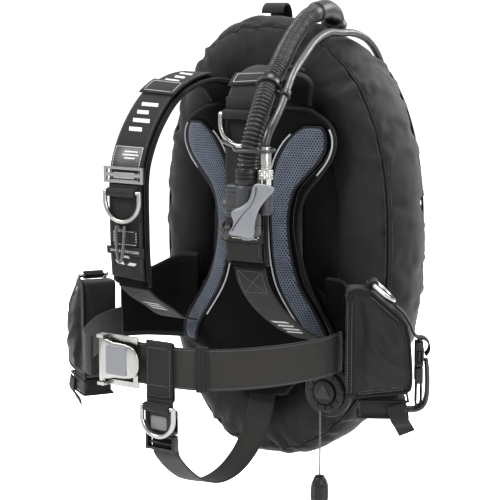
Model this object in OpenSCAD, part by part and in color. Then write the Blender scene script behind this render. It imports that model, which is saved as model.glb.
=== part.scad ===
// Rear-inflation buoyancy compensator vest for scuba diving.
// Origin: on the axis of the diving cylinder, at half the height of its band.
// +X is the wearer's left, -Y points at the wearer's chest side, +Z is up.

/* [Tank] */
// Radius of the diving cylinder that the band holds
tank_r = 92; // [86:1:102]
// Height of the tank band
band_h = 50; // [40:1:60]

/* [Air cell] */
// Half width of the ring-shaped air cell, to the middle of its tube
wing_a = 137; // [134:1:142]
// Half height of the air cell, to the middle of its tube
wing_b = 242; // [240:1:252]
// Radius of the air cell's tube, seen from the front
wing_tube = 48; // [44:1:48]
// How square the ring is: 2 is an ellipse, more is boxier
wing_square = 2.35; // [2.2:0.05:2.5]

/* [Harness] */
// Width of the harness webbing
web_w = 50; // [48:1:51]
// Thickness of the harness webbing
web_t = 2.5; // [2:0.1:3]
// Width of a padded shoulder strap
shoulder_w = 58; // [54:1:58]
// Thickness of a padded shoulder strap
shoulder_t = 12; // [8:1:12]
// Height of the belt's middle
belt_z = -118; // [-124:1:-116]

/* [Back pad] */
// Thickness of the back pad at its middle
pad_t = 23; // [16:1:24]

/* [Hardware] */
// Wire radius of the steel D-rings
ring_r = 3; // [2.5:0.1:3]
// Running clearance round a pin
fit = 0.08; // [0.05:0.01:0.1]

/* [Hidden] */
$fn = 48;

// Air cell
wing_front = -154;
wing_top_swell = 12;
wing_rear = -14;
tank_groove = tank_r + 9;
groove_half = 125;
web_y = -129;
// Back plate
plate_y = -160;
plate_t = 3;
bolt_z = 45;
bolt_r = 4;
// Back pad
pad_back = -166.3;
pad_crown = 8;
pad_half = [[-196, 34], [-186, 50], [-172, 60], [-158, 70], [-148, 92], [-138, 112],
    [-124, 117], [-106, 112], [-82, 96], [-55, 79], [-25, 67], [5, 61], [35, 61], [65, 70],
    [90, 91], [112, 108], [135, 114], [155, 106], [168, 86], [173, 62]];
// Mesh panels: height, inner edge, outer edge
mesh_rows = [[-136, 90, 107], [-120, 87, 107], [-100, 76, 98], [-75, 59, 82], [-50, 45, 67],
    [-20, 37, 56], [10, 34, 50], [40, 33, 49], [70, 35, 55], [90, 37, 67], [108, 42, 84],
    [122, 50, 93], [135, 60, 97], [146, 74, 97], [152, 85, 94]];
mesh_t = 2.4;
// Gap between a shoulder strap's padding and the webbing sewn on it
web_gap = 1;
// Middle lines of the shoulder straps, from the back plate to the chest
left_strap = [[48, -170, 186], [56, -182, 206], [65, -212, 217], [74, -255, 221],
    [80, -293, 214], [84, -319, 196], [87, -329, 170], [87, -330, 140], [87, -330, 80],
    [87, -330, 30], [87, -326, 0]];
right_strap = [[-48, -170, 186], [-56, -183, 202], [-65, -208, 209], [-74, -240, 203],
    [-79, -275, 185], [-81, -305, 155], [-82, -325, 122], [-82, -334, 90], [-82, -334, 30],
    [-82, -333, 0], [-85, -326, -40]];
// Webbing from the straps' lower ends back to the plate's lower corners
left_lower = [[87, -324.5, -4], [88, -315, -28], [92, -290, -58], [98, -250, -88],
    [104, -215, -106], [106, -190, -114]];
right_lower = [[-85.5, -324, -44], [-89, -300, -60], [-95, -260, -80], [-101, -225, -98],
    [-104, -192, -108]];
chest_ring_left_at = [87, -346.2, 178];
chest_ring_right_at = [-82, -350, 77];
crotch_ring_at = [12, -408.8, -166];
// Belt lines, seen from above
left_belt = [[148, -212], [149, -235], [146, -268], [128, -318], [98, -360], [62, -388],
    [20, -398], [-20, -398], [-60, -398], [-83, -398]];
right_belt = [[-93, -398], [-106, -394], [-122, -378], [-142, -345], [-162, -302],
    [-172, -262], [-174, -234]];
belt_face = -398 - web_t / 2;
// Hip panels
left_hip = [[98, -163.4], [112, -163.4], [124, -164.6], [134, -172], [142, -186], [148, -206]];
right_hip = [[-98, -163.4], [-112, -163.4], [-126, -165], [-140, -176], [-157, -194],
    [-172, -213]];
hip_t = 5;
hip_h = 96;
// Weight pockets, in their own frame: +X outwards along the face, +Y into the depth
left_pocket_at = [174, -247, 0];
left_pocket_turn = 30;
right_pocket_at = [-212, -265, -26];
right_pocket_turn = -34;
pocket_d = 45;
pocket_wall = 4;
pocket_face = [[0, -36], [4, -33], [26, -33], [72, -72], [79, -100], [82, -146],
    [76, -160], [12, -168], [0, -162]];
pouch_gap = 0.6;
pouch_x = 12;
pouch_w = 56;
pouch_top = -76;
pouch_low = -166;
clip_x = 89;
clip_top = -100;
// Side-release clip
clip_w = 40;
clip_t = 10;
clip_wall = 2;
female_h = 30;
male_h = 20;
prong_h = 22;
hip_clip_w = 26;
// Waist buckle
buckle_x0 = -76;
buckle_x1 = -13;
hinge_x = -70;
hinge_y = belt_face - 8;
// Crotch strap
crotch_w = 38;
crotch_x = 10;
crotch_path = [[4, -163.2, -168], [4, -163.2, -186], [5, -166, -202], [8, -178, -222],
    [13, -200, -242], [18, -235, -264], [17, -268, -279], [14, -302, -282], [12, -335, -272],
    [11, -358, -258], [10, -376, -242], [10, -388, -228], [10, -390.6, -217],
    [10, -390.6, -206]];
crotch_buckle_z = -180;
// Hoses
hose_r = 11.5;
hose_path = [[80, -165.2, 293], [83, -192, 285], [90, -226, 270], [101, -264, 253],
    [115, -306, 233], [121.5, -338, 212], [128, -360, 195], [131, -378, 172], [129.5, -387, 150],
    [127, -390, 131], [127, -390, 120], [127, -390, 108.6]];
elbow_path = [[67.8, -96, 281.6], [69, -99, 287], [71.5, -110, 292.5], [76, -134, 296.8],
    [79.8, -163.5, 293.2]];
elbow_r = 12.5;
lp_r = 4.7;
lp_path = [[150.6, -390, 149.3], [150.7, -390, 153], [152.3, -385, 165], [151, -370, 178],
    [147.5, -352, 192], [142, -332, 208], [135, -306, 226], [127, -270, 243], [118.5, -230, 260],
    [110, -185, 269], [103.5, -145, 268], [102, -105, 267], [103, -70, 257], [104, -42, 234],
    [105, -26, 200], [105, -22, 165], [104, -20, 130], [104, -20, 90], [104, -20, 50],
    [104, -20, 22]];
// Inflator
inf_x = 127;
inf_y = -390;
inf_low = 46;
inf_top = 104;
inf_r = 15;
side_x = 150.6;
button_r = 7.5;
inflate_z = 79;
mouth_z = 55;
// Dump valve
dump_x = 104;
dump_z = -184;
dump_y = -166;
dump_r = 34;
dump_cord_x = 96;
dump_cord_y = -173;

// A point on a smooth curve through p1 and p2
function blend4(p0, p1, p2, p3, t) = (2 * p1 + (p2 - p0) * t
    + (2 * p0 - 5 * p1 + 4 * p2 - p3) * t * t + (3 * p1 - p0 - 3 * p2 + p3) * t * t * t) / 2;
// A smooth open curve through points, with n steps between neighbours
function smooth(p, n) = [for (i = [0:len(p) - 2], k = [0:n - 1])
    blend4(p[max(i - 1, 0)], p[i], p[i + 1], p[min(i + 2, len(p) - 1)], k / n), p[len(p) - 1]];
// A smooth closed curve through points
function smooth_loop(p, n) = [for (i = [0:len(p) - 1], k = [0:n - 1])
    blend4(p[(i + len(p) - 1) % len(p)], p[i], p[(i + 1) % len(p)], p[(i + 2) % len(p)], k / n)];
function unit(v) = v / norm(v);
function along(p, i) = unit(p[min(i + 1, len(p) - 1)] - p[max(i - 1, 0)]);
function signed_power(v, e) = sign(v) * pow(abs(v), e);
// Looks up column c of rows sorted by their first value
function row_value(rows, at, c) = lookup(at, [for (q = rows) [q[0], q[c]]]);

// A closed surface through rings of points that turn anticlockwise about the way they go
module skin(rings, closed = false) {
    m = len(rings);
    k = len(rings[0]);
    sides = [for (i = [0:(closed ? m : m - 1) - 1], j = [0:k - 1])
        let (a = i * k + j, b = i * k + (j + 1) % k,
             c = ((i + 1) % m) * k + (j + 1) % k, d = ((i + 1) % m) * k + j)
        each [[a, c, b], [a, d, c]]];
    last = (m - 1) * k;
    caps = closed ? [] : [for (j = [1:k - 2]) each [[0, j, j + 1], [last, last + j + 1, last + j]]];
    polyhedron([for (r = rings) each r], concat(sides, caps), convexity = 8);
}

// A flat strap along a line, its width along the directions wide, lifted off the line
function strap_rings(line, wide, w, t, lift = 0) = [for (i = [0:len(line) - 1])
    let (go = along(line, i), side = unit(wide - go * (wide * go)), up = cross(go, side),
         c = line[i] + up * lift)
    [c + side * w / 2 + up * t / 2, c - side * w / 2 + up * t / 2,
     c - side * w / 2 - up * t / 2, c + side * w / 2 - up * t / 2]];

// The same with rounded edges, for a padded strap
function padded_rings(line, wide, w, t) = [for (i = [0:len(line) - 1])
    let (go = along(line, i), side = unit(wide - go * (wide * go)), up = cross(go, side))
    [for (k = [[1, 0.4], [0.86, 1], [-0.86, 1], [-1, 0.4], [-1, -0.4], [-0.86, -1],
               [0.86, -1], [1, -0.4]])
        line[i] + side * k[0] * w / 2 + up * k[1] * t / 2]];

// A round tube along a line, wider over its first points when foot is given
module tube(line, r, sides, foot = 0, foot_points = 0) {
    skin([for (i = [0:len(line) - 1])
        let (go = along(line, i), side = unit(cross(go, [1, 0.2, 0])), up = cross(go, side),
             radius = i < foot_points ? foot : r)
        [for (k = [0:sides - 1])
            line[i] + radius * (side * cos(360 * k / sides) + up * sin(360 * k / sides))]]);
}

// Extrudes an outline drawn in X and Z from y = front to y = back
module plate(front, back) {
    translate([0, back, 0]) rotate([90, 0, 0]) linear_extrude(back - front) children();
}

// A steel D-ring: its bar lies on the X axis and its bow hangs below
module d_ring(inner, leg) {
    half = inner / 2 + ring_r;
    color("silver") {
        rotate([0, 90, 0]) cylinder(r = ring_r, h = 2 * half, center = true);
        for (s = [-1, 1]) translate([s * half, 0, 0]) {
            sphere(r = ring_r);
            translate([0, 0, -leg]) cylinder(r = ring_r, h = leg);
        }
        translate([0, 0, -leg]) rotate([90, 0, 0]) rotate([0, 0, 180])
            rotate_extrude(angle = 180) translate([half, 0]) circle(r = ring_r);
    }
}

// The sewn webbing loop that a D-ring's bar turns in, with its tab above
module ring_tab(w, h) {
    loop_r = ring_r + web_t;
    color("#222222") difference() {
        union() {
            rotate([0, 90, 0]) cylinder(r = loop_r, h = w, center = true);
            translate([-w / 2, loop_r - web_t, 0]) cube([w, web_t, h]);
        }
        rotate([0, 90, 0]) cylinder(r = ring_r + fit, h = w + 2, center = true);
    }
}

// The fixed half of a side-release clip, its mouth at the origin and facing down
module clip_female(w) {
    color("#1c1c1c") difference() {
        translate([-w / 2, -clip_t / 2, 0]) cube([w, clip_t, female_h]);
        translate([-w / 2 + clip_wall, -clip_t / 2 + clip_wall, -1])
            cube([w - 2 * clip_wall, clip_t - 2 * clip_wall, female_h - 4]);
        translate([-w / 2 - 1, -2.5, 6]) cube([w + 2, 5, 12]);
    }
}

// The moving half: a base below the mouth and two prongs inside it
module clip_male(w) {
    gap = 0.5;
    prong_w = w / 5;
    inside = w / 2 - clip_wall - gap;
    thick = clip_t - 2 * clip_wall - 2 * gap;
    color("#1c1c1c") {
        difference() {
            translate([-w / 2, -clip_t / 2, -male_h - gap]) cube([w, clip_t, male_h]);
            translate([-w / 2 + 3, -1.8, -male_h - 1.5]) cube([w - 6, 3.6, male_h - 4]);
        }
        for (x = [-inside, inside - prong_w]) translate([x, -thick / 2, -gap - 0.5])
            cube([prong_w, thick, prong_h]);
    }
}

// Air cell: centre of the tube, its outward direction, and a point on its skin
function wing_mid(t) = [wing_a * signed_power(cos(t), 2 / wing_square),
    wing_b * signed_power(sin(t), 2 / wing_square)];
function wing_out(t) = let (d = wing_mid(t + 0.5) - wing_mid(t - 0.5)) unit([d[1], -d[0]]);
function wing_point(t, p) = let (c = wing_mid(t) + wing_out(t) * wing_tube * cos(p),
    front = wing_front - wing_top_swell * pow(c[1] / 290, 2),
    rear = wing_rear - (tank_groove + wing_rear)
        * pow(max(1 - pow(abs(c[0]) / groove_half, 3), 0), 1.3))
    [c[0], (front + rear) / 2 + (rear - front) / 2 * sin(p), c[1]];

module wing_shell() {
    color("#17181a") skin([for (i = [0:59]) let (t = 3 + 6 * i)
        [for (k = [0:13]) wing_point(t, 360 * k / 14)]], closed = true);
}

// Fabric web inside the ring, with a window for the saddle
module wing_web() {
    edge = [for (i = [0:59]) let (t = 3 + 6 * i, c = wing_mid(t))
        c - wing_out(t) * (42.5 + 8.5 * abs(c[1]) / wing_b)];
    color("#1b1b1c") plate(web_y - 1, web_y + 1) difference() {
        polygon(edge);
        square([84, 144], center = true);
    }
}

module back_plate() {
    half = [[0, 192], [48, 192], [72, 182], [79, 150], [70, 105], [52, 60], [46, 15],
        [58, -35], [92, -60], [111, -80], [112, -125], [95, -152], [60, -180], [22, -191]];
    left = [for (i = [len(half) - 1:-1:1]) [-half[i][0], half[i][1]]];
    color("#2a2b2d") plate(plate_y, plate_y + plate_t) difference() {
        polygon(smooth_loop(concat(half, left), 4));
        for (s = [-1, 1]) {
            translate([0, s * bolt_z]) circle(r = bolt_r + 0.3);
            translate([s * 24, 132]) square([10, 60], center = true);
            translate([s * 40, -120]) square([10, 50], center = true);
        }
    }
}

// Moulded saddle between plate and tank, hollowed from the front
module tank_saddle() {
    color("#242526") difference() {
        translate([-40, plate_y + plate_t + 0.2, -70]) cube([80, 66, 140]);
        cylinder(r = tank_r + 0.4, h = 200, center = true, $fn = 96);
        cylinder(r = tank_r + 3.4, h = band_h + 2, center = true, $fn = 96);
        for (x = [-36, 12], z = [-62, -12, 38]) translate([x, -158, z]) cube([24, 44, 24]);
        for (s = [-1, 1]) translate([0, -120, s * bolt_z]) rotate([90, 0, 0])
            cylinder(r = bolt_r + 0.3, h = 60);
    }
}

module saddle_bolts() {
    color("silver") for (s = [-1, 1]) translate([0, plate_y, s * bolt_z]) rotate([90, 0, 0]) {
        translate([0, 0, 0.1]) cylinder(r = 8, h = 4.6);
        translate([0, 0, -34]) cylinder(r = bolt_r, h = 34.2);
    }
}

module tank_band() {
    color("#202020") translate([0, 0, -band_h / 2]) rotate_extrude($fn = 128)
        translate([tank_r, 0]) square([web_t, band_h]);
}

// Cam buckle at the back of the tank
module cam_body() {
    face = tank_r + web_t + 0.3;
    color("#2b2b2b") difference() {
        union() {
            translate([-34, face - 6, -28]) cube([68, 9, 56]);
            for (z = [-28, 24]) translate([-34, face, z]) cube([16, 14, 4]);
        }
        cylinder(r = face, h = 100, center = true, $fn = 128);
        translate([-26, face + 8, -40]) cylinder(r = 2.5 + fit, h = 80);
    }
}

module cam_pin() {
    color("silver") translate([-26, tank_r + web_t + 8.3, -28]) cylinder(r = 2.5, h = 56);
}

module cam_lever() {
    y = tank_r + web_t + 8.3;
    color("#333436") difference() {
        union() {
            translate([-26, y, -23.5]) cylinder(r = 5, h = 47);
            translate([-26, y, -23.5]) cube([72, 4.5, 47]);
            translate([44, y, -23.5]) cube([6, 7, 47]);
        }
        translate([-26, y, -40]) cylinder(r = 2.5 + fit, h = 80);
    }
}

// Carrying handle: webbing behind the air cell with a loop above it
module grab_handle() {
    line = smooth([[-11, -97, 72], [-11, -97, 160], [-11, -97, 240], [-11, -97, 285],
        [-11, -101, 299.5], [-11, -109, 304], [-11, -117, 299.5], [-11, -120, 292]], 4);
    color("#202123") skin(strap_rings(line, [1, 0, 0], 33, web_t));
}

function pad_w(z) = row_value(pad_half, z, 1);
// How far back the pad's face is at a point
function pad_face(x, z) = let (c = min(pow(abs(x) / pad_w(z), 1.7), 1))
    pad_back - (pad_t - pad_crown * pow(x / 120, 2)) * pow(1 - c * c, 0.3);

module back_pad() {
    color("#1d1e20") skin([for (q = smooth(pad_half, 2)) [for (k = [0:19]) let (a = 18 * k,
        x = q[1] * signed_power(cos(a), 0.6))
        [x, a > 0 && a < 180 ? pad_back : pad_face(x, q[0]) - 0.01, q[0]]]]);
}

module mesh_panel(side) {
    rows = smooth(mesh_rows, 2);
    color("#52606f") skin([for (q = rows) let (n = 5,
        xs = [for (k = [0:n]) side > 0 ? q[1] + (q[2] - q[1]) * k / n
            : -(q[2] + (q[1] - q[2]) * k / n)])
        concat([for (k = [0:n]) [xs[k], pad_face(xs[k], q[0]) - mesh_t - 0.8, q[0]]],
            [for (k = [n:-1:0]) [xs[k], pad_face(xs[k], q[0]) - 0.8, q[0]]])]);
}
module mesh_panel_left() mesh_panel(1);
module mesh_panel_right() mesh_panel(-1);

module shoulder_pad(line) color("#1a1b1d")
    skin(padded_rings(smooth(line, 3), [1, 0, 0], shoulder_w, shoulder_t));
module shoulder_pad_left() shoulder_pad(left_strap);
module shoulder_pad_right() shoulder_pad(right_strap);

// Flat webbing sewn on the face of a shoulder strap
module strap_face(line, first, last, w, t, lift) {
    whole = smooth(line, 3);
    color("#232426") skin(strap_rings([for (i = [first:last]) whole[i]], [1, 0, 0], w, t,
        shoulder_t / 2 + lift + t / 2));
}
module shoulder_webbing_left() strap_face(left_strap, 6, 29, web_w, web_t, web_gap);
module shoulder_webbing_right() strap_face(right_strap, 6, 29, web_w, web_t, web_gap);

// Stitched elastic sleeves over the webbing
module strap_keepers() {
    over = web_gap + web_t + 0.5;
    strap_face(left_strap, 12, 14, shoulder_w - 1, 2, over);
    strap_face(left_strap, 26, 27, shoulder_w - 1, 2, over);
    strap_face(right_strap, 10, 12, shoulder_w - 1, 2, over);
    strap_face(right_strap, 26, 27, shoulder_w - 1, 2, over);
}

// Steel slider on the right chest webbing
module strap_slider() {
    color("silver") translate([-82, -346, 98]) plate(-1.4, 1.4) difference() {
        square([60, 20], center = true);
        for (s = [-1, 1]) translate([0, s * 4.4]) square([51, 4.4], center = true);
    }
}

module ring_tabs() {
    translate(chest_ring_left_at) ring_tab(42, 20);
    translate(chest_ring_right_at) ring_tab(42, 9);
    translate(crotch_ring_at) ring_tab(36, 10);
    for (s = [1, -1]) hip_place(s) hip_ring_place() ring_tab(26, 8);
}

module chest_ring_left() translate(chest_ring_left_at) d_ring(46, 10);
module chest_ring_right() translate(chest_ring_right_at) d_ring(46, 10);

module lower_webbing(line) color("#202123")
    skin(strap_rings(smooth(line, 4), [1, 0, 0], 44, web_t));
module lower_webbing_left() lower_webbing(left_lower);
module lower_webbing_right() lower_webbing(right_lower);

// Belt webbing stands on edge along a line seen from above
module belt(line, w, t, n) skin(strap_rings(
    [for (q = smooth(line, n)) [q[0], q[1], belt_z]], [0, 0, 1], w, t));
module belt_left() color("#2c2d2e") belt([for (i = [len(left_belt) - 1:-1:0]) left_belt[i]],
    web_w, web_t, 4);
module belt_right() color("#2c2d2e") belt([for (i = [len(right_belt) - 1:-1:0]) right_belt[i]],
    web_w, web_t, 4);

// Stitched webbing keeper round the belt
module belt_keeper() {
    color("#242526") translate([62, -388, belt_z]) rotate([0, 0, 27]) difference() {
        cube([14, web_t + 4.4, web_w + 5], center = true);
        cube([20, web_t + 1.4, web_w + 1.4], center = true);
    }
}

// Waist buckle: frame over the belt, with lugs for the lever's pin
module buckle_frame() {
    color("silver") difference() {
        union() {
            plate(belt_face - 3.3, belt_face - 0.3) translate([buckle_x0, belt_z - 31])
                difference() {
                    square([buckle_x1 - buckle_x0 - 8, 62]);
                    translate([14, 7]) square([34, 48]);
                }
            for (z = [belt_z - 31, belt_z + 27]) translate([hinge_x - 5, hinge_y - 5, z])
                cube([10, 11, 4]);
        }
        translate([hinge_x, hinge_y, belt_z - 50]) cylinder(r = 2 + fit, h = 100);
    }
}

module buckle_pin() {
    color("silver") translate([hinge_x, hinge_y, belt_z - 31]) cylinder(r = 2, h = 62);
}

module buckle_lever() {
    len_x = buckle_x1 - hinge_x;
    color("silver") difference() {
        union() {
            translate([hinge_x, hinge_y, belt_z - 26.5]) cylinder(r = 4, h = 53);
            plate(hinge_y - 4, hinge_y - 1.6) translate([hinge_x, belt_z - 26.5]) {
                square([len_x - 14, 53]);
                translate([0, 8]) square([len_x, 37]);
                for (z = [13, 40]) translate([len_x - 13, z]) circle(r = 13);
            }
        }
        translate([hinge_x, hinge_y, belt_z - 50]) cylinder(r = 2 + fit, h = 100);
    }
}

// Padded panels between plate and belt
module hip_panel(line) color("#191a1b") skin(strap_rings(
    [for (q = smooth(line, 4)) [q[0], q[1], -72]], [0, 0, 1], hip_h, hip_t));
module hip_panel_left() hip_panel(left_hip);
module hip_panel_right() hip_panel(right_hip);

// Puts a pocket's own frame on the wearer's left (1) or right (-1)
module hip_place(s) {
    if (s > 0) translate(left_pocket_at) rotate([0, 0, left_pocket_turn]) children();
    else translate(right_pocket_at) rotate([0, 0, right_pocket_turn]) mirror([1, 0, 0]) children();
}
// The ring lies on the pocket's sloping shoulder, its bar along the pocket's depth
module hip_ring_place() {
    translate([33, pocket_d / 2, -30.5]) rotate([0, 41, 0]) translate([0, 0, 1])
        rotate([0, -90, 0]) rotate([0, 0, 90]) children();
}

module pocket(s) {
    color("#1b1c1d") hip_place(s) difference() {
        plate(0, pocket_d) polygon(pocket_face);
        translate([pouch_x - pouch_gap, pocket_wall, pouch_low - 20])
            cube([pouch_w + 2 * pouch_gap, pocket_d - 2 * pocket_wall,
                pouch_top - pouch_low + 20 + pouch_gap]);
    }
}
module pocket_left() pocket(1);
module pocket_right() pocket(-1);

// Weight pouch: its sewn body, a bottom lip, the grip, the tail and the moving clip half
module weight_pouch(s) {
    depth = pocket_d - 2 * pocket_wall - 2 * pouch_gap;
    color("#1f2021") hip_place(s) {
        translate([pouch_x, pocket_wall + pouch_gap, pouch_low - 8])
            cube([pouch_w, depth, pouch_top - pouch_low + 8]);
        translate([pouch_x + 4, 2, pouch_low - 20]) cube([pouch_w + 4, pocket_d - 4, 12.5]);
        translate([pouch_x + pouch_w, 12, pouch_low - 20]) cube([clip_x - pouch_x - pouch_w + 12, 21, 6]);
        translate([clip_x + 6, 14, pouch_low - 20]) cube([6, 17, 66]);
        translate([pouch_x + pouch_w - 4, 21, pouch_low - 44]) cube([24, 3, 25]);
    }
    hip_place(s) translate([clip_x, 22.5, clip_top - female_h]) rotate([0, 0, 90])
        clip_male(hip_clip_w);
    hip_place(s) color("#1f2021") translate([clip_x - 4.5, 12, pouch_low - 14.2])
        cube([9, 21, clip_top - female_h - male_h - pouch_low + 14]);
}
module weight_pouch_left() weight_pouch(1);
module weight_pouch_right() weight_pouch(-1);

// Fixed clip halves beside the pockets, with the straps that hold them
module hip_clips() {
    for (s = [1, -1]) hip_place(s) {
        translate([clip_x, 22.5, clip_top - female_h]) rotate([0, 0, 90])
            clip_female(hip_clip_w);
        color("#232426") translate([80.2, 12, clip_top - 4]) cube([3.8, 21, 3]);
    }
}
module hip_ring_left() hip_place(1) hip_ring_place() d_ring(32, 12);
module hip_ring_right() hip_place(-1) hip_ring_place() d_ring(32, 12);

module crotch_strap() {
    color("#2a2b2c") skin(strap_rings(smooth(crotch_path, 3), [1, 0, 0], crotch_w, web_t));
}

// Webbing loop that hangs the clip on the belt
module crotch_hanger() {
    front = belt_face - 1.2;
    color("#242526") translate([crotch_x - crotch_w / 2, 0, 0]) {
        translate([0, front - web_t, -160]) cube([crotch_w, web_t, 68]);
        translate([0, front + web_t + 2.4, -160]) cube([crotch_w, web_t, 68]);
        for (z = [-160, -92]) translate([0, front - web_t, z])
            cube([crotch_w, web_t * 3 + 2.4, 5]);
    }
}
module crotch_ring() translate(crotch_ring_at) d_ring(40, 12);
module crotch_clip_female() translate([crotch_x, -398, crotch_buckle_z - 20]) {
    clip_female(crotch_w + 4);
    color("#242526") translate([-16, -3, female_h - 1]) cube([32, 6, 11]);
}
module crotch_clip_male() translate([crotch_x, -398, crotch_buckle_z - 20])
    clip_male(crotch_w + 4);

module hose_elbow() {
    flange = [[66.4, -95.6, 278], [67.6, -95.8, 281]];
    color("#1a1a1b") tube(concat(flange, smooth(elbow_path, 4)), elbow_r, 16, 16, 2);
}
module corrugated_hose() color("#26282a") tube(smooth(hose_path, 5), hose_r, 12);

module hose_collar() {
    color("#202224") translate([inf_x, inf_y, 0]) difference() {
        translate([0, 0, inf_top + 0.2]) cylinder(r = 14, h = 17);
        translate([0, 0, inf_top + 4]) cylinder(r = hose_r + 0.5, h = 17);
    }
}

module hose_clip() {
    color("#1a1a1a") translate([121, -338, 212]) rotate([122.7, 0, 16.5]) difference() {
        cylinder(r = hose_r + 3, h = 12, center = true);
        cylinder(r = hose_r + 1.2, h = 18, center = true);
    }
}

// Inflator: barrel, ribbed side housing, boss for the low-pressure hose, button sockets
module inflator_body() {
    color("#2b2e31") difference() {
        union() {
            translate([inf_x, inf_y, inf_low]) cylinder(r = inf_r, h = inf_top - inf_low);
            translate([inf_x - 24, inf_y - 10, 66]) cube([24, 20, inf_top - 66]);
            translate([side_x, inf_y, 72]) cylinder(r = 8, h = inf_top - 72);
            translate([inf_x, inf_y - 7, 74]) cube([side_x - inf_x, 14, inf_top - 74]);
            translate([side_x, inf_y, inf_top - 1]) cylinder(r = 5, h = 9);
            translate([inf_x, inf_y, mouth_z]) rotate([0, -100, 0]) cylinder(r = 5, h = 26);
        }
        for (z = [88, 94]) translate([inf_x - 25, inf_y - 11, z]) cube([9, 3, 2]);
        translate([inf_x - 26, inf_y, inflate_z]) rotate([0, 90, 0])
            cylinder(r = button_r + fit, h = 12);
        translate([inf_x, inf_y, inf_low - 1]) cylinder(r = button_r + fit, h = 11);
    }
}

// Silver cover plate that sweeps across the inflator's front
module inflator_cover() {
    front = inf_y - inf_r - 3;
    outline = smooth_loop([[146, 106], [158, 108], [171, 105], [171, 100], [161, 90], [152, 78],
        [147, 64], [144.5, 48], [129, 47], [113, 49], [119, 61], [116, 74], [129, 81],
        [140, 90]], 4);
    color("#b4b6b8") plate(front, front + 2.6) polygon(outline);
}

module mouthpiece() {
    color("#1d1e1f") translate([inf_x, inf_y, mouth_z]) rotate([0, -100, 0]) difference() {
        union() {
            translate([0, 0, 18]) cylinder(r = 8, h = 16);
            translate([0, 0, 28]) cylinder(r = 11, h = 3);
        }
        translate([0, 0, 16]) cylinder(r = 5.3, h = 24);
    }
}

module inflate_button() {
    color("#8d9093") translate([inf_x - 28.5, inf_y, inflate_z]) rotate([0, 90, 0])
        cylinder(r = button_r, h = 10);
}
module deflate_button() {
    color("#8d9093") translate([inf_x, inf_y, inf_low - 5]) cylinder(r = button_r, h = 11);
}

module lp_hose() color("#1b1c1d") tube(smooth(lp_path, 3), lp_r, 8);
module lp_fitting() {
    color("silver") translate([104, -20, 0]) difference() {
        union() {
            translate([0, 0, 8]) cylinder(r = 7, h = 14);
            translate([0, 0, 2]) cylinder(r = 8, h = 6, $fn = 6);
            translate([0, 0, -10]) cylinder(r = 4.7, h = 12);
        }
        translate([0, 0, -11]) cylinder(r = 2, h = 26);
    }
}
module lp_coupling() {
    color("silver") translate([side_x, inf_y, 0]) difference() {
        translate([0, 0, inf_top + 0.4]) cylinder(r = 6.5, h = 43.6);
        translate([0, 0, inf_top]) cylinder(r = 5.2, h = 9);
    }
}
module coupling_collar() {
    color("#c4c6c8") translate([side_x, inf_y, 111]) difference() {
        cylinder(r = 8.6, h = 11);
        translate([0, 0, -1]) cylinder(r = 6.5 + fit, h = 13);
    }
}

// Dump valve on the lower front of the air cell
module dump_body() {
    color("#202122") difference() {
        translate([dump_x, dump_y, dump_z]) rotate([90, 0, 0]) {
            translate([0, 0, -1]) cylinder(r = dump_r, h = 5);
            translate([0, 0, 3]) cylinder(r = 27, h = 7);
            translate([0, 0, 9]) cylinder(r = 16, h = 4);
        }
        translate([dump_cord_x, dump_cord_y, dump_z - 60]) cylinder(r = 2, h = 55);
    }
}
module dump_cord() {
    color("#151515") translate([dump_cord_x, dump_cord_y, dump_z - 111])
        cylinder(r = 1.2, h = 96);
}
module dump_knob() {
    color("#101010") translate([dump_cord_x, dump_cord_y, dump_z - 145]) {
        cylinder(r = 12, h = 22, $fn = 8);
        translate([0, 0, 21.5]) cylinder(r1 = 11.5, r2 = 6, h = 12);
    }
}

wing_shell();
wing_web();
back_plate();
tank_saddle();
saddle_bolts();
tank_band();
cam_body();
cam_pin();
cam_lever();
grab_handle();
back_pad();
mesh_panel_left();
mesh_panel_right();
shoulder_pad_left();
shoulder_pad_right();
shoulder_webbing_left();
shoulder_webbing_right();
strap_keepers();
strap_slider();
ring_tabs();
chest_ring_left();
chest_ring_right();
lower_webbing_left();
lower_webbing_right();
belt_left();
belt_right();
belt_keeper();
buckle_frame();
buckle_pin();
buckle_lever();
hip_panel_left();
hip_panel_right();
pocket_left();
pocket_right();
hip_ring_left();
hip_ring_right();
hip_clips();
weight_pouch_left();
weight_pouch_right();
crotch_strap();
crotch_hanger();
crotch_ring();
crotch_clip_female();
crotch_clip_male();
hose_elbow();
corrugated_hose();
hose_collar();
hose_clip();
inflator_body();
inflator_cover();
mouthpiece();
inflate_button();
deflate_button();
lp_hose();
lp_fitting();
lp_coupling();
coupling_collar();
dump_body();
dump_cord();
dump_knob();
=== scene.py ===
import math
import bpy
import numpy as np
from mathutils import Matrix, Vector, noise


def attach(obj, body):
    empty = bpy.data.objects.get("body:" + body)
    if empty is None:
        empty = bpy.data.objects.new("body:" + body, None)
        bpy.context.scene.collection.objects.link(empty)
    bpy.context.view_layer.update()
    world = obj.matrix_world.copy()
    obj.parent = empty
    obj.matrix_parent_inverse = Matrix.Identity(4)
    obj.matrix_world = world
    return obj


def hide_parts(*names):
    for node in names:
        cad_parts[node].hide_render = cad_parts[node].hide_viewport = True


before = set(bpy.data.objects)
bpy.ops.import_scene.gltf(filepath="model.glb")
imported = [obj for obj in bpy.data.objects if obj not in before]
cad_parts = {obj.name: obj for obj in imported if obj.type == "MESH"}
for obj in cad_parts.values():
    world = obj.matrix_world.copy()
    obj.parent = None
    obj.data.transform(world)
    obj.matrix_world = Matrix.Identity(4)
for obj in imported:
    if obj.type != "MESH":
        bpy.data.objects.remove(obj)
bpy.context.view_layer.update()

# Looks of a rear-inflation buoyancy vest. Shapes are given in millimetres in the CAD's frame:
# +X is the wearer's left, -Y is forwards and the cylinder's axis is Z.
ROOT = "vest"
MM = 0.001


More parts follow.
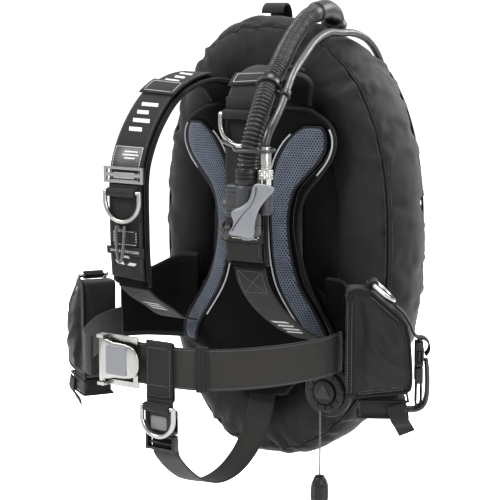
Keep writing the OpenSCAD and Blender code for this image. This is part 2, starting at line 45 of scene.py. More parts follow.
# ---------------------------------------------------------------- curves
def smooth(points, n, closed=False):
    """The CAD's smooth curve through points, n steps between neighbours."""
    p = np.array(points, float)
    m = len(p)
    out = []
    for i in range(m if closed else m - 1):
        if closed:
            a, b, c, d = p[(i - 1) % m], p[i], p[(i + 1) % m], p[(i + 2) % m]
        else:
            a, b, c, d = p[max(i - 1, 0)], p[i], p[i + 1], p[min(i + 2, m - 1)]
        for k in range(n):
            t = k / n
            out.append((2 * b + (c - a) * t + (2 * a - 5 * b + 4 * c - d) * t * t
                        + (3 * b - a - 3 * c + d) * t ** 3) / 2)
    if not closed:
        out.append(p[-1])
    return np.array(out)


def unit(v):
    return v / np.maximum(np.linalg.norm(v, axis=-1, keepdims=True), 1e-12)


def arc(line):
    return np.r_[0, np.cumsum(np.linalg.norm(np.diff(line, axis=0), axis=1))]


class Ribbon:
    """A line with a width direction: at(s, x, h) is a point s along, x across and h off it."""

    def __init__(self, points, wide, n=12):
        line = smooth(points, n)
        self.n = n
        self.s = arc(line)
        self.length = self.s[-1]
        self.p = line
        go = unit(np.gradient(line, self.s, axis=0))
        w = np.array(wide, float)
        self.side = unit(w - go * (go @ w)[:, None])
        self.up = np.cross(go, self.side)

    def ctrl(self, c):
        """The distance along at control point c, which may lie between two."""
        return float(np.interp(c * self.n, np.arange(len(self.s)), self.s))

    def at(self, s, x, h):
        s, x, h = np.broadcast_arrays(*[np.asarray(q, float) for q in (s, x, h)])
        f = [np.stack([np.interp(s, self.s, q[:, k]) for k in range(3)], -1)
             for q in (self.p, self.side, self.up)]
        return f[0] + unit(f[1]) * x[..., None] + unit(f[2]) * h[..., None]


# ---------------------------------------------------------------- meshes
def mesh_object(name, verts, faces, uv=None):
    """verts in millimetres; uv is one (u, v) in millimetres for each vertex."""
    me = bpy.data.meshes.new(name)
    me.from_pydata((np.asarray(verts, float) * MM).tolist(), [], faces)
    me.validate()
    if uv is not None:
        layer = me.uv_layers.new(name="UVMap")
        idx = np.empty(len(me.loops), int)
        me.loops.foreach_get("vertex_index", idx)
        layer.data.foreach_set("uv", (np.asarray(uv, float)[idx] * MM).ravel())
    me.polygons.foreach_set("use_smooth", [True] * len(me.polygons))
    ob = bpy.data.objects.new(name, me)
    bpy.context.scene.collection.objects.link(ob)
    return ob


def loft(name, rings, uv=None, closed=False):
    """A surface through rings of points, capped at both ends or joined end to end."""
    rings = np.asarray(rings, float)
    n, k = rings.shape[:2]
    i, j = np.meshgrid(np.arange(n if closed else n - 1), np.arange(k), indexing="ij")
    a, b = i * k, (i + 1) % n * k
    w = (j + 1) % k
    faces = np.stack([a + j, b + j, b + w, a + w], -1).reshape(-1, 4).tolist()
    if not closed:
        faces.append(list(range(k)))
        faces.append(list(range(n * k - 1, (n - 1) * k - 1, -1)))
    return mesh_object(name, rings.reshape(-1, 3), faces,
                       None if uv is None else np.asarray(uv, float).reshape(-1, 2))


def flat_section(w, t, nx=8):
    """A thin rectangle with round edges, as (across, off) points."""
    r = t / 2
    x = np.linspace(-w / 2 + r, w / 2 - r, nx + 1)
    a = np.radians([60, 20, -20, -60])
    right = [(w / 2 - r + r * math.cos(q), r * math.sin(q)) for q in a]
    left = [(-w / 2 + r - r * math.cos(q), -r * math.sin(q)) for q in a]
    return np.array([(q, r) for q in x] + right + [(q, -r) for q in x[::-1]] + left)


def padded_section(w, t, rim, rim_t, nx=16):
    """A padded strap: thick in the middle, with thin bound rims."""
    x = np.linspace(-w / 2, w / 2, 2 * nx + 1)
    d = np.clip((w / 2 - np.abs(x)) / rim, 0, 1)
    h = rim_t / 2 + (t - rim_t) / 2 * (1 - (1 - np.clip((d - 0.45) / 0.55, 0, 1)) ** 2.4) ** 0.6
    h = h * np.where(np.abs(x) > w / 2 - 0.1, 0.35, 1)
    return np.concatenate([np.stack([x, h], 1), np.stack([x[::-1], -h[::-1]], 1)])


def sweep(name, rib, section, s0=0, s1=None, h=0.0, x0=0.0, step=3.0, change=None):
    """A section swept along a ribbon; change(s, x, y) may move the section's points."""
    s1 = rib.length if s1 is None else s1
    n = max(2, int(round(abs(s1 - s0) / step))) + 1
    s = np.linspace(s0, s1, n)[:, None] + np.zeros(len(section))
    x = section[:, 0] + np.zeros((n, 1))
    y = section[:, 1] + np.zeros((n, 1))
    if change:
        x, y = change(s, x, y)
    pts = rib.at(s, x + x0, y + h)
    return loft(name, pts, np.stack([x, s], -1))


def frames_along(line):
    """Rotation-minimising side and up directions along a line."""
    go = unit(np.gradient(line, axis=0))
    side = np.zeros_like(go)
    start = np.array([1.0, 0.2, 0.0])
    side[0] = unit(start - go[0] * (start @ go[0]))
    for i in range(1, len(line)):
        v = side[i - 1] - go[i] * (side[i - 1] @ go[i])
        side[i] = unit(v)
    return go, side, np.cross(go, side)


def tube(name, points, radius, sides=12, n=8, closed=False, step=None):
    """A round tube; radius is a number or a function of the distance along in millimetres."""
    line = smooth(points, n, closed)
    if step:
        s = arc(line)
        q = np.linspace(0, s[-1], int(s[-1] / step) + 2)
        line = np.stack([np.interp(q, s, line[:, k]) for k in range(3)], 1)
    s = arc(line)
    if closed:
        wrap = np.vstack([line[-1:], line, line[:1]])
        go = unit(wrap[2:] - wrap[:-2])
        side = unit(np.cross(go, [0.013, 1.0, 0.021]))
        up = np.cross(go, side)
    else:
        go, side, up = frames_along(line)
    r = np.array([radius(q) for q in s]) if callable(radius) else np.full(len(line), float(radius))
    a = np.linspace(0, 2 * math.pi, sides, endpoint=False)
    rings = (line[:, None] + r[:, None, None] * (side[:, None] * np.cos(a)[None, :, None]
                                                 + up[:, None] * np.sin(a)[None, :, None]))
    rad = float(np.mean(r))
    uv = np.stack(np.broadcast_arrays(a[None, :] * rad, s[:, None]), -1)
    return loft(name, rings, uv, closed=closed)


def join(name, objects):
    """One object from several, materials kept."""
    for o in bpy.context.selected_objects:
        o.select_set(False)
    for o in objects:
        o.select_set(True)
    bpy.context.view_layer.objects.active = objects[0]
    bpy.ops.object.join()
    objects[0].name = name
    objects[0].data.name = name
    return objects[0]


def put(ob, mat, body=ROOT, replaces=()):
    """Gives a piece its material and body, and hides the CAD nodes that it stands for."""
    if mat is not None:
        ob.data.materials.clear()
        ob.data.materials.append(mat)
    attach(ob, body)
    if replaces:
        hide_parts(*replaces)
    return ob


STITCH_SIDES = 6
STITCH_RINGS = ((-1, 0.25), (-0.6, 0.9), (0.6, 0.9), (1, 0.25))


def stitches(name, lines, mat, body=ROOT, pitch=3.4, length=2.3, r=0.42):
    """Thread along lines of (points, normals): each stitch is a small six-sided bead."""
    verts, faces = [], []
    n, last = STITCH_SIDES, len(STITCH_RINGS) - 1
    for pts, nor in lines:
        pts, nor = np.asarray(pts, float), np.asarray(nor, float)
        s = arc(pts)
        for a in np.arange(pitch / 2, s[-1] - pitch / 2, pitch):
            c = np.array([np.interp(a, s, pts[:, k]) for k in range(3)])
            e = np.array([np.interp(a + 0.3, s, pts[:, k]) for k in range(3)])
            up = unit(np.array([np.interp(a, s, nor[:, k]) for k in range(3)]))
            go = unit(e - c)
            side = np.cross(up, go)
            base = len(verts)
            for f, q in STITCH_RINGS:
                for k in range(n):
                    w = math.radians(360 / n * k)
                    verts.append(c + go * f * length / 2
                                 + (side * math.cos(w) + up * math.sin(w)) * r * q)
            for i in range(base, base + last * n, n):
                for k in range(n):
                    w = (k + 1) % n
                    faces.append([i + k, i + w, i + n + w, i + n + k])
            faces.append([base + k for k in range(n - 1, -1, -1)])
            faces.append([base + last * n + k for k in range(n)])
    return put(mesh_object(name, verts, faces), mat, body)


def on_ribbon(rib, s, x, h):
    """A stitch line on a ribbon: points and normals."""
    s, x = np.broadcast_arrays(np.asarray(s, float), np.asarray(x, float))
    return rib.at(s, x, h), rib.at(s, x, h + 1) - rib.at(s, x, h)


def box_lines(rib, s0, s1, w, h, cross=False):
    """The usual sewn box, with a cross when asked."""
    n = 12
    q = np.linspace(s0, s1, n)
    x = np.linspace(-w / 2, w / 2, n)
    out = [on_ribbon(rib, q, -w / 2, h), on_ribbon(rib, q, w / 2, h),
           on_ribbon(rib, s0, x, h), on_ribbon(rib, s1, x, h)]
    if cross:
        out += [on_ribbon(rib, q, x, h), on_ribbon(rib, q, -x, h)]
    return out


def fbm(p, size):
    """Soft noise for points in millimetres."""
    return np.array([noise.fractal(Vector(q) / size, 1.0, 2.0, 3) for q in p])


# ---------------------------------------------------------------- materials
class Nodes:
    """Small helper that adds shader nodes and links them."""

    def __init__(self, name):
        self.m = bpy.data.materials.new(name)
        self.m.use_nodes = True
        self.t = self.m.node_tree
        self.b = self.t.nodes["Principled BSDF"]
        self.c = self.t.nodes.new("ShaderNodeTexCoord")

    def add(self, kind, **props):
        n = self.t.nodes.new("ShaderNode" + kind)
        for k, v in props.items():
            setattr(n, k, v)
        return n

    def link(self, a, b):
        if hasattr(a, "is_output"):
            self.t.links.new(a, b)
        else:
            b.default_value = a

    def math(self, op, a, b=0.0, c=0.0):
        n = self.add("Math", operation=op)
        for i, v in enumerate((a, b, c)):
            self.link(v, n.inputs[i])
        return n.outputs[0]

    def xyz(self, kind):
        n = self.add("SeparateXYZ")
        self.link(self.c.outputs[kind], n.inputs[0])
        return n.outputs

    def noise(self, scale, detail=4, rough=0.55, stretch=(1, 1, 1)):
        n = self.add("TexNoise")
        at = self.c.outputs["Object"]
        if stretch != (1, 1, 1):
            m = self.add("Mapping")
            self.link(at, m.inputs["Vector"])
            m.inputs["Scale"].default_value = stretch
            at = m.outputs[0]
        self.link(at, n.inputs["Vector"])
        n.inputs["Scale"].default_value = scale
        n.inputs["Detail"].default_value = detail
        n.inputs["Roughness"].default_value = rough
        return n.outputs["Fac"]

    def wave(self, v, period, phase=0.0):
        """A sine of a coordinate with the given period in metres, from -1 to 1."""
        return self.math("SINE", self.math("MULTIPLY_ADD", v, 2 * math.pi / period, phase))

    def mix(self, fac, a, b):
        n = self.add("Mix", data_type="RGBA")
        self.link(fac, n.inputs["Factor"])
        self.link(a, n.inputs[6])
        self.link(b, n.inputs[7])
        return n.outputs[2]

    def ramp(self, v, lo, hi, a=0.0, b=1.0):
        n = self.add("MapRange")
        for i, q in enumerate((v, lo, hi, a, b)):
            self.link(q, n.inputs[i])
        return n.outputs[0]

    def bump(self, height, strength, distance, before=None):
        n = self.add("Bump")
        self.link(height, n.inputs["Height"])
        n.inputs["Strength"].default_value = strength
        n.inputs["Distance"].default_value = distance
        if before is not None:
            self.link(before, n.inputs["Normal"])
        return n.outputs[0]

    def done(self, color, rough, normal=None, **sockets):
        self.link(color, self.b.inputs["Base Color"])
        self.link(rough, self.b.inputs["Roughness"])
        if normal is not None:
            self.link(normal, self.b.inputs["Normal"])
        for k, v in sockets.items():
            self.b.inputs[k.replace("_", " ")].default_value = v
        return self.m


def shade(c, f):
    return (c[0] * f, c[1] * f, c[2] * f, 1.0)


def nylon(name, c, period=0.0011, sheen=0.25, rough=0.66, uv=False, spec=0.12):
    """Coated woven nylon: a plain weave in three directions, blotches and soft creases."""
    g = Nodes(name)
    if uv:
        q = g.xyz("UV")
        weave = g.math("MULTIPLY", g.wave(q[0], period), g.wave(q[1], period))
    else:
        q = g.xyz("Object")
        weave = 0.0
        for u, v in ((q[2], q[0]), (q[1], q[2]), (q[0], q[1])):
            weave = g.math("MULTIPLY_ADD", g.wave(u, period), g.wave(v, period, 1.57), weave)
    blot = g.noise(9, 5)
    fine = g.noise(420, 2)
    col = g.mix(g.ramp(blot, 0.35, 0.7), shade(c, 0.78), shade(c, 1.25))
    col = g.mix(g.ramp(weave, -1.2, 1.4, 0.0, 0.45), col, shade(c, 1.9))
    r = g.ramp(g.math("MULTIPLY_ADD", fine, 0.25, blot), 0.3, 0.95, rough - 0.1, rough + 0.12)
    nrm = g.bump(g.noise(38, 5), 0.35, 0.0012)
    nrm = g.bump(weave, 0.45, 0.00022, nrm)
    return g.done(col, r, nrm, Sheen_Weight=sheen, Sheen_Roughness=0.4, Specular_IOR_Level=spec)


WEFT = 0.0016


def webbing(name, c, rib=0.0017):
    """Woven webbing: ribs along it, a weft that steps from rib to rib, and worn patches."""
    g = Nodes(name)
    q = g.xyz("UV")
    column = g.math("ABSOLUTE", g.wave(q[0], rib * 2))
    step = g.math("MULTIPLY", g.math("FLOOR", g.math("DIVIDE", q[0], rib)), math.pi)
    weft = g.math("SINE", g.math("MULTIPLY_ADD", q[1], 2 * math.pi / WEFT, step))
    h = g.math("MULTIPLY_ADD", weft, 0.35, column)
    worn = g.noise(30, 5)
    col = g.mix(g.ramp(h, 0.1, 1.3), shade(c, 0.5), shade(c, 1.35))
    col = g.mix(g.ramp(worn, 0.45, 0.75, 0.0, 0.4), col, shade(c, 1.7))
    nrm = g.bump(h, 0.6, 0.0004)
    return g.done(col, g.ramp(worn, 0.3, 0.8, 0.62, 0.84), nrm, Sheen_Weight=0.06,
                  Sheen_Roughness=0.45, Specular_IOR_Level=0.15)


MESH_PITCH = 0.0036
ROW_STEP = 0.866


def spacer_mesh(name, c, hole):
    """Spacer mesh: staggered holes in a knitted face, one pitch apart in rows."""
    g = Nodes(name)
    q = g.xyz("UV")
    row = g.math("DIVIDE", q[1], MESH_PITCH * ROW_STEP)
    odd = g.math("MULTIPLY", g.math("MODULO", g.math("FLOOR", row), 2.0), 0.5)
    column = g.math("ADD", g.math("DIVIDE", q[0], MESH_PITCH), odd)
    fx = g.math("SUBTRACT", g.math("FRACT", column), 0.5)
    fy = g.math("MULTIPLY", g.math("SUBTRACT", g.math("FRACT", row), 0.5), ROW_STEP)
    d = g.math("SQRT", g.math("MULTIPLY_ADD", fx, fx, g.math("MULTIPLY", fy, fy)))
    solid = g.ramp(d, 0.2, 0.33)
    knit = g.math("MULTIPLY", g.wave(q[0], 0.0007), g.wave(q[1], 0.0009))
    tone = g.mix(g.ramp(g.noise(60, 3), 0.35, 0.7), shade(c, 0.8), shade(c, 1.2))
    tone = g.mix(g.ramp(knit, -1, 1, 0.0, 0.35), tone, shade(c, 1.6))
    col = g.mix(solid, shade(hole, 1), tone)
    nrm = g.bump(solid, 0.8, 0.0009)
    nrm = g.bump(knit, 0.3, 0.0002, nrm)
    return g.done(col, g.ramp(solid, 0, 1, 0.95, 0.7), nrm, Sheen_Weight=0.1,
                  Sheen_Roughness=0.5, Specular_IOR_Level=0.2)


def plastic(name, c, rough=0.42, grain=900, bump=0.12, wear=1.5, metal=0.0, spec=0.5):
    """Moulded plastic or paint: fine grain, handling marks and paler rubbed spots."""
    g = Nodes(name)
    marks = g.noise(55, 6, 0.7)
    col = g.mix(g.ramp(marks, 0.5, 0.78, 0.0, 0.6), shade(c, 1.0), shade(c, wear))
    r = g.ramp(marks, 0.3, 0.8, rough - 0.1, rough + 0.16)
    nrm = g.bump(g.noise(grain, 2), bump, 0.0002)
    nrm = g.bump(g.noise(70, 3), 0.08, 0.0008, nrm)
    return g.done(col, r, nrm, Metallic=metal, Specular_IOR_Level=spec)


def steel(name, c, rough=0.2, brushed=0.5):
    """Polished steel with faint draw lines and smudges."""
    g = Nodes(name)
    smear = g.noise(24, 5, 0.6)
    drawn = g.noise(1.0, 3, 0.5, (30, 900, 900))
    col = g.mix(g.ramp(smear, 0.4, 0.75), shade(c, 1.0), shade(c, 0.78))
    r = g.ramp(smear, 0.3, 0.8, rough, rough + 0.2)
    nrm = g.bump(drawn, brushed * 0.2, 0.0002)
    return g.done(col, r, nrm, Metallic=1.0)


def ribbed_rubber(name, c, pitch):
    """Corrugated rubber: painted highlight on crests, painted shade in valleys, rubbed marks, fine
    grain.
    """
    g = Nodes(name)
    crest = g.ramp(g.wave(g.xyz("UV")[1], pitch, math.pi / 2), -0.5, 0.9)
    marks = g.noise(55, 6, 0.7)
    # Painted light: the rib crests are drawn far paler as a painted highlight and the valleys far
    # darker as painted shade
    col = g.mix(crest, shade(c, 0.15), shade(c, 1.9))
    col = g.mix(g.ramp(marks, 0.5, 0.78, 0.0, 0.5), col, shade(c, 1.4))
    nrm = g.bump(g.noise(700, 2), 0.05, 0.0002)
    return g.done(col, g.ramp(crest, 0, 1, 0.75, 0.3), nrm, Specular_IOR_Level=0.35)


def thread(name, c):
    """Thread, piping or print: a fine twisted grain."""
    g = Nodes(name)
    q = g.noise(1500, 2)
    return g.done(g.mix(g.ramp(q, 0.3, 0.7), shade(c, 0.75), shade(c, 1.1)), 0.6,
                  g.bump(q, 0.4, 0.0002), Sheen_Weight=0.2)


SHELL = nylon("shell_nylon", (0.0037, 0.0035, 0.0038), sheen=0.08, rough=0.6, spec=0.2)
SHELL_UV = nylon("air_cell_nylon", (0.0042, 0.004, 0.0041), uv=True, sheen=0.05, rough=0.6,
                 spec=0.19)
LINING = nylon("pad_nylon", (0.0018, 0.0018, 0.0021), period=0.0008, uv=True, sheen=0.02,
               spec=0.05)
BINDING = webbing("binding_tape", (0.005, 0.005, 0.0054), rib=0.0012)
STRAP = webbing("strap_webbing", (0.0075, 0.0072, 0.007))
BELT = webbing("belt_webbing", (0.0155, 0.0149, 0.0138))
MESH = spacer_mesh("spacer_mesh", (0.043, 0.051, 0.067), (0.0011, 0.0012, 0.0021))
BLACK = plastic("black_plastic", (0.0042, 0.0042, 0.0046), spec=0.25)
DARK = plastic("inflator_plastic", (0.009, 0.0098, 0.011), rough=0.48, spec=0.35)
GREY = plastic("grey_plastic", (0.065, 0.067, 0.07), rough=0.5)
MARK = thread("reflective_print", (0.27, 0.27, 0.27))
SILVER = plastic("silver_paint", (0.09, 0.093, 0.102), rough=0.4, bump=0.05, wear=1.25, metal=0.3)
STEEL = steel("polished_steel", (0.23, 0.227, 0.221), rough=0.2)
PLATED = steel("plated_brass", (0.28, 0.276, 0.268), rough=0.15, brushed=0.2)
RUBBER = plastic("hose_rubber", (0.0055, 0.0058, 0.006), rough=0.4, grain=600, bump=0.06, wear=1.8,
                 spec=0.4)
RIB_PITCH = 4.8
HOSE = ribbed_rubber("corrugated_rubber", (0.0068, 0.0071, 0.0076), RIB_PITCH * MM)
PIPING = thread("grey_piping", (0.17, 0.175, 0.18))
WHITE = thread("white_thread", (0.36, 0.36, 0.35))
DULL = thread("black_thread", (0.03, 0.03, 0.032))


# ---------------------------------------------------------------- cords
LP_ROUTE = [(150.6, -390, 149.3), (150.7, -390, 153), (152.3, -385, 165), (151, -370, 178),
            (147.5, -352, 192), (142, -332, 208), (135, -306, 226), (127, -270, 243),
            (118.5, -230, 260), (110, -185, 269), (103.5, -145, 268), (102, -105, 267),
            (103, -70, 257), (104, -42, 234), (105, -26, 200), (105, -22, 165),
            (104, -20, 130), (104, -20, 90), (104, -20, 50), (104, -20, 22)]
LP_RADIUS = 4.7
lp = put(tube("lp_hose_rubber", LP_ROUTE, LP_RADIUS, 16, 6), RUBBER,
         replaces=("lp_hose",))
# The dump cord hangs straight down from the valve to its knob
CORD_ROUTE = [(96, -173, z) for z in range(-199, -296, -12)]
pull = put(tube("dump_pull_cord", CORD_ROUTE, lambda s: 1.25 + 0.12 * math.sin(s * 2.4), 8, 8),
           DULL, "dump_pull", ("dump_cord",))

# ---------------------------------------------------------------- air cell
# Half width and half height of the ring's core line, half width of its tube, and its squareness
WA, WB, WT, SQ = 137.0, 242.0, 48.0, 2.35
WING_Y = -90.0


def sgn_pow(v, e):
    """A power that keeps the sign: rounds a circle towards a square."""
    return np.sign(v) * np.abs(v) ** e


def wing_mid(t):
    """The core line's (x, z) at t degrees."""
    a = np.radians(t)
    return np.stack([WA * sgn_pow(np.cos(a), 2 / SQ), WB * sgn_pow(np.sin(a), 2 / SQ)], -1)


def wing_core(t):
    """The middle of the air cell's tube."""
    mid = wing_mid(t)
    return np.stack([mid[..., 0], np.full(np.shape(t), WING_Y), mid[..., 1]], -1)


def wing_depth(x, z):
    """Where the front and rear of the air cell lie; the rear is hollow for the cylinder."""
    front = -154 - 12 * (z / 290) ** 2
    rear = -14 - 87 * np.maximum(1 - (np.abs(x) / 125) ** 3, 0) ** 1.3
    return front, rear


def wing_skin(t, p):
    """A point on the air cell: t degrees round the ring, p degrees round its tube."""
    d = unit(wing_mid(t + 0.5) - wing_mid(t - 0.5))
    out = np.stack([d[..., 1], -d[..., 0]], -1)
    q = np.radians(p)
    c = wing_mid(t) + out * (WT * np.cos(q))[..., None]
    front, rear = wing_depth(c[..., 0], c[..., 1])
    y = (front + rear) / 2 + (rear - front) / 2 * np.sin(q)
    return np.stack([c[..., 0], y, c[..., 1]], -1)


# Seams run at these angles round the tube: front panel to gusset, gusset to rear, inner joint
SEAMS = (-44.0, 40.0, 176.0)
T_STEPS, P_STEPS = 400, 104
tt, pp = np.meshgrid(3.1 + np.arange(T_STEPS) * 360 / T_STEPS,
                     -180 + np.arange(P_STEPS) * 360 / P_STEPS, indexing="ij")


def grid_normals(g):
    du = np.roll(g, -1, 0) - np.roll(g, 1, 0)
    dv = np.roll(g, -1, 1) - np.roll(g, 1, 1)
    return unit(np.cross(du, dv))


# Mean radii of the ring and of its tube, for distances along and across the skin
RING_R, TUBE_R = 215, 60


def wing_detail(t, p, points):
    """How far the skin stands off the plain form: seams, puckers and slack."""
    around = np.radians(t) * RING_R
    flat = points.reshape(-1, 3)
    big = fbm(flat, 95).reshape(t.shape)
    mid = fbm(flat + 300, 34).reshape(t.shape)
    h = -1.8 + 2.2 * big + 1.0 * mid
    for i, seam in enumerate(SEAMS):
        d = np.radians((p - seam + 180) % 360 - 180) * TUBE_R
        wob = 3.2 * mid + 5 * big
        ripple = np.sin(around / 15 * 2 * math.pi / 1.9 + wob + i)
        fold = np.sin(around / 41 * 2 * math.pi + wob * 0.7 + 2 * i)
        far = np.exp(-np.abs(d) / 15)
        near = 1 - np.exp(-(d / 2.2) ** 2)
        h += (2.5 * ripple * far + 2.2 * fold * np.exp(-np.abs(d) / 30)) * near
        h -= 2.6 * np.exp(-(d / 2.6) ** 2)
    return h


base = wing_skin(tt, pp)
nor = grid_normals(base)
if np.mean(np.sum(nor * (base - wing_core(tt)), -1)) < 0:
    nor = -nor
skin = base + nor * wing_detail(tt, pp, base)[..., None]
wing_uv = np.stack([np.radians(tt) * RING_R, np.radians(pp) * TUBE_R], -1)
put(loft("air_cell", skin, wing_uv, closed=True), SHELL_UV,
    replaces=("wing_shell",))


def wing_line(p, h):
    """A closed line along the air cell at the angle p, standing h off the form."""
    t = np.arange(3.1, 363.1, 3)
    a = wing_skin(t, np.full_like(t, p))
    b = wing_skin(t + 0.4, np.full_like(t, p))
    c = wing_skin(t, np.full_like(t, p + 0.6))
    n = unit(np.cross(b - a, c - a))
    n *= np.sign(np.sum(n * (a - wing_core(t)), 1))[:, None]
    return a + n * h


for i, seam in enumerate(SEAMS[:2]):
    put(tube("air_cell_piping_%d" % i, wing_line(seam, -3.2), 1.7, 8, 2, closed=True), BINDING)
wing_threads = []
for seam in SEAMS[:2]:
    for off in (-4.5, 4.5):
        line = wing_line(seam + off, -1.9)
        line = np.vstack([line, line[:1]])
        nrm = wing_line(seam + off, -0.9)
        wing_threads.append((line, np.vstack([nrm, nrm[:1]]) - line))
stitches("air_cell_thread", wing_threads, DULL, pitch=4.2, length=2.8)


# ---------------------------------------------------------------- back pad
PAD = [(-196, 34), (-186, 50), (-172, 60), (-158, 70), (-148, 92), (-138, 112), (-124, 117),
       (-106, 112), (-82, 96), (-55, 79), (-25, 67), (5, 61), (35, 61), (65, 70), (90, 91),
       (112, 108), (135, 114), (155, 106), (168, 86), (173, 62)]
MESH_ROWS = [(-136, 90, 107), (-120, 87, 109), (-100, 76, 101), (-75, 58, 85), (-50, 44, 69),
             (-20, 36, 59), (10, 33, 53.5), (40, 32, 53), (70, 33, 61), (90, 35, 77), (108, 40, 94),
             (122, 47, 102), (135, 56, 104), (146, 68, 102), (152, 79, 97)]
# The pad's flat side, its thickness and how much thinner it is towards its sides
PAD_BACK, PAD_T, PAD_CROWN = -166.3, 23.0, 8.0
pad_rows = smooth(PAD, 6)
mesh_rows = smooth(MESH_ROWS, 6)


def pad_w(z):
    """Half the pad's width at a height."""
    return np.interp(z, pad_rows[:, 0], pad_rows[:, 1])


def pad_face(x, z):
    """Where the pad's face lies, before its seams are drawn in."""
    c = np.minimum((np.abs(x) / pad_w(z)) ** 1.7, 1)
    return PAD_BACK - (PAD_T - PAD_CROWN * (x / 120) ** 2) * np.maximum(1 - c * c, 0) ** 0.3


outline = np.vstack([mesh_rows[:, [2, 0]], mesh_rows[::-1][:, [1, 0]]])
outline = np.vstack([outline, outline[:1]])


def to_outline(x, z):
    """Distance from points to a mesh panel's edge, and whether they are inside it."""
    q = np.stack([np.abs(x), z], -1)
    best = np.full(x.shape, 1e9)
    for a, b in zip(outline[:-1], outline[1:]):
        ab = b - a
        t = np.clip(((q - a) @ ab) / max(ab @ ab, 1e-9), 0, 1)
        best = np.minimum(best, np.linalg.norm(q - a - t[..., None] * ab, axis=-1))
    lo = np.interp(q[..., 1], mesh_rows[:, 0], mesh_rows[:, 1])
    hi = np.interp(q[..., 1], mesh_rows[:, 0], mesh_rows[:, 2])
    inside = (q[..., 0] > lo) & (q[..., 0] < hi) & (q[..., 1] > -136) & (q[..., 1] < 152)
    return best, inside


# Rows bunch up towards both ends so that the rim rounds over
zs = np.interp(np.linspace(0, 1, 210), [0, 0.06, 0.94, 1], [-196, -190, 168, 173])
ang = np.linspace(0, 2 * math.pi, 128, endpoint=False)
rings = []
for z in zs:
    x = pad_w(z) * sgn_pow(np.cos(ang), 0.6)
    y = np.where((ang > 0) & (ang < math.pi), PAD_BACK, pad_face(x, z) - 0.01)
    rings.append(np.stack([x, y, np.full(len(x), z)], -1))
rings = np.array(rings)
front = (ang >= math.pi) | (ang == 0)
d, inside = to_outline(rings[:, :, 0], rings[:, :, 2])
push = 2.6 * np.exp(-(d / 3.2) ** 2) - 1.2 * np.exp(-np.abs(d - 14) / 12) * (~inside)
low = -0.9 * np.sin(rings[:, :, 2] / 37.0 + 1.1) * np.exp(-(rings[:, :, 0] / 38) ** 2)
soft = 1.1 * fbm(rings.reshape(-1, 3) * [1, 0, 1], 46).reshape(d.shape)
depth = np.clip((PAD_BACK - rings[:, :, 1]) / 6, 0, 1)
rings[:, :, 1] += np.where(front[None, :], (push + low + soft + 0.9) * depth, 0)
pad = loft("back_pad_cover", rings, rings[:, :, (0, 2)])
put(pad, LINING, replaces=("back_pad",))

pad_threads = []
for side, name in ((1, "left"), (-1, "right")):
    # The panel itself: a crowned skin over the CAD panel's place
    n = 12
    grid = []
    rows = mesh_rows
    m = len(rows)
    for i, (z, lo, hi) in enumerate(rows):
        f = np.linspace(0, 1, n + 1)
        x = (lo + (hi - lo) * f) * side
        end = min(i, m - 1 - i)
        dome = (1 - (2 * f - 1) ** 4) ** 0.5 * min(1, (end + 0.3) / 5) ** 0.5
        face = pad_face(x, z)
        front, under = [np.stack([x, y, np.full(n + 1, z)], -1)
                        for y in (face - 1.0 - 3.4 * dome, face + 1.0)]
        grid.append(np.vstack([front, under[::-1]])[::side])
    grid = np.array(grid)
    put(loft("mesh_panel_" + name + "_cloth", grid, grid[:, :, (0, 2)]), MESH,
        replaces=("mesh_panel_" + name,))
    # Bound edge in black and the pale piping beside it
    edge = np.vstack([rows[::3][:, [2, 0]], rows[::-3][:, [1, 0]]])
    far = np.r_[True, np.linalg.norm(np.diff(edge, axis=0), axis=1) > 3]
    edge = edge[far]
    pts = [(x * side, pad_face(x, z) - 0.9, z) for x, z in edge]
    put(tube("mesh_binding_" + name, pts, 1.9, 8, 3, closed=True), BINDING)
    # Pale piping: along the inner edge, and over the top lobe's outer edge
    inner = [(q[1] - 5.5, q[0]) for q in rows[12:-8:4]]
    pts = [(x * side, pad_face(x, z) - 0.7, z) for x, z in inner]
    put(tube("pad_piping_inner_" + name, pts, 1.15, 8, 3), PIPING)
    lobe = [(z, pad_w(z) - 2.6) for z in (92, 104, 116, 128, 140, 150)]
    pts = [(x * side, pad_face(x, z) - 0.8, z) for z, x in lobe]
    put(tube("pad_piping_lobe_" + name, pts, 1.25, 8, 4), PIPING)
    hem = [(q[2] + 5.5, q[0]) for q in rows[6:-14:3]]
    pts = np.array([(x * side, pad_face(x, z) - 0.3, z) for x, z in hem])
    pad_threads.append((pts, np.tile([0, -1, 0], (len(pts), 1))))
# The rim of the pad is bound with tape
loop = [(w, z) for z, w in PAD] + [(-w, z) for z, w in PAD[::-1]]
pts = [(x * 0.985, PAD_BACK - 4.5, z) for x, z in loop]
put(tube("pad_rim_binding", pts, 3.1, 10, 4, closed=True), BINDING)
stitches("pad_thread", pad_threads, DULL)

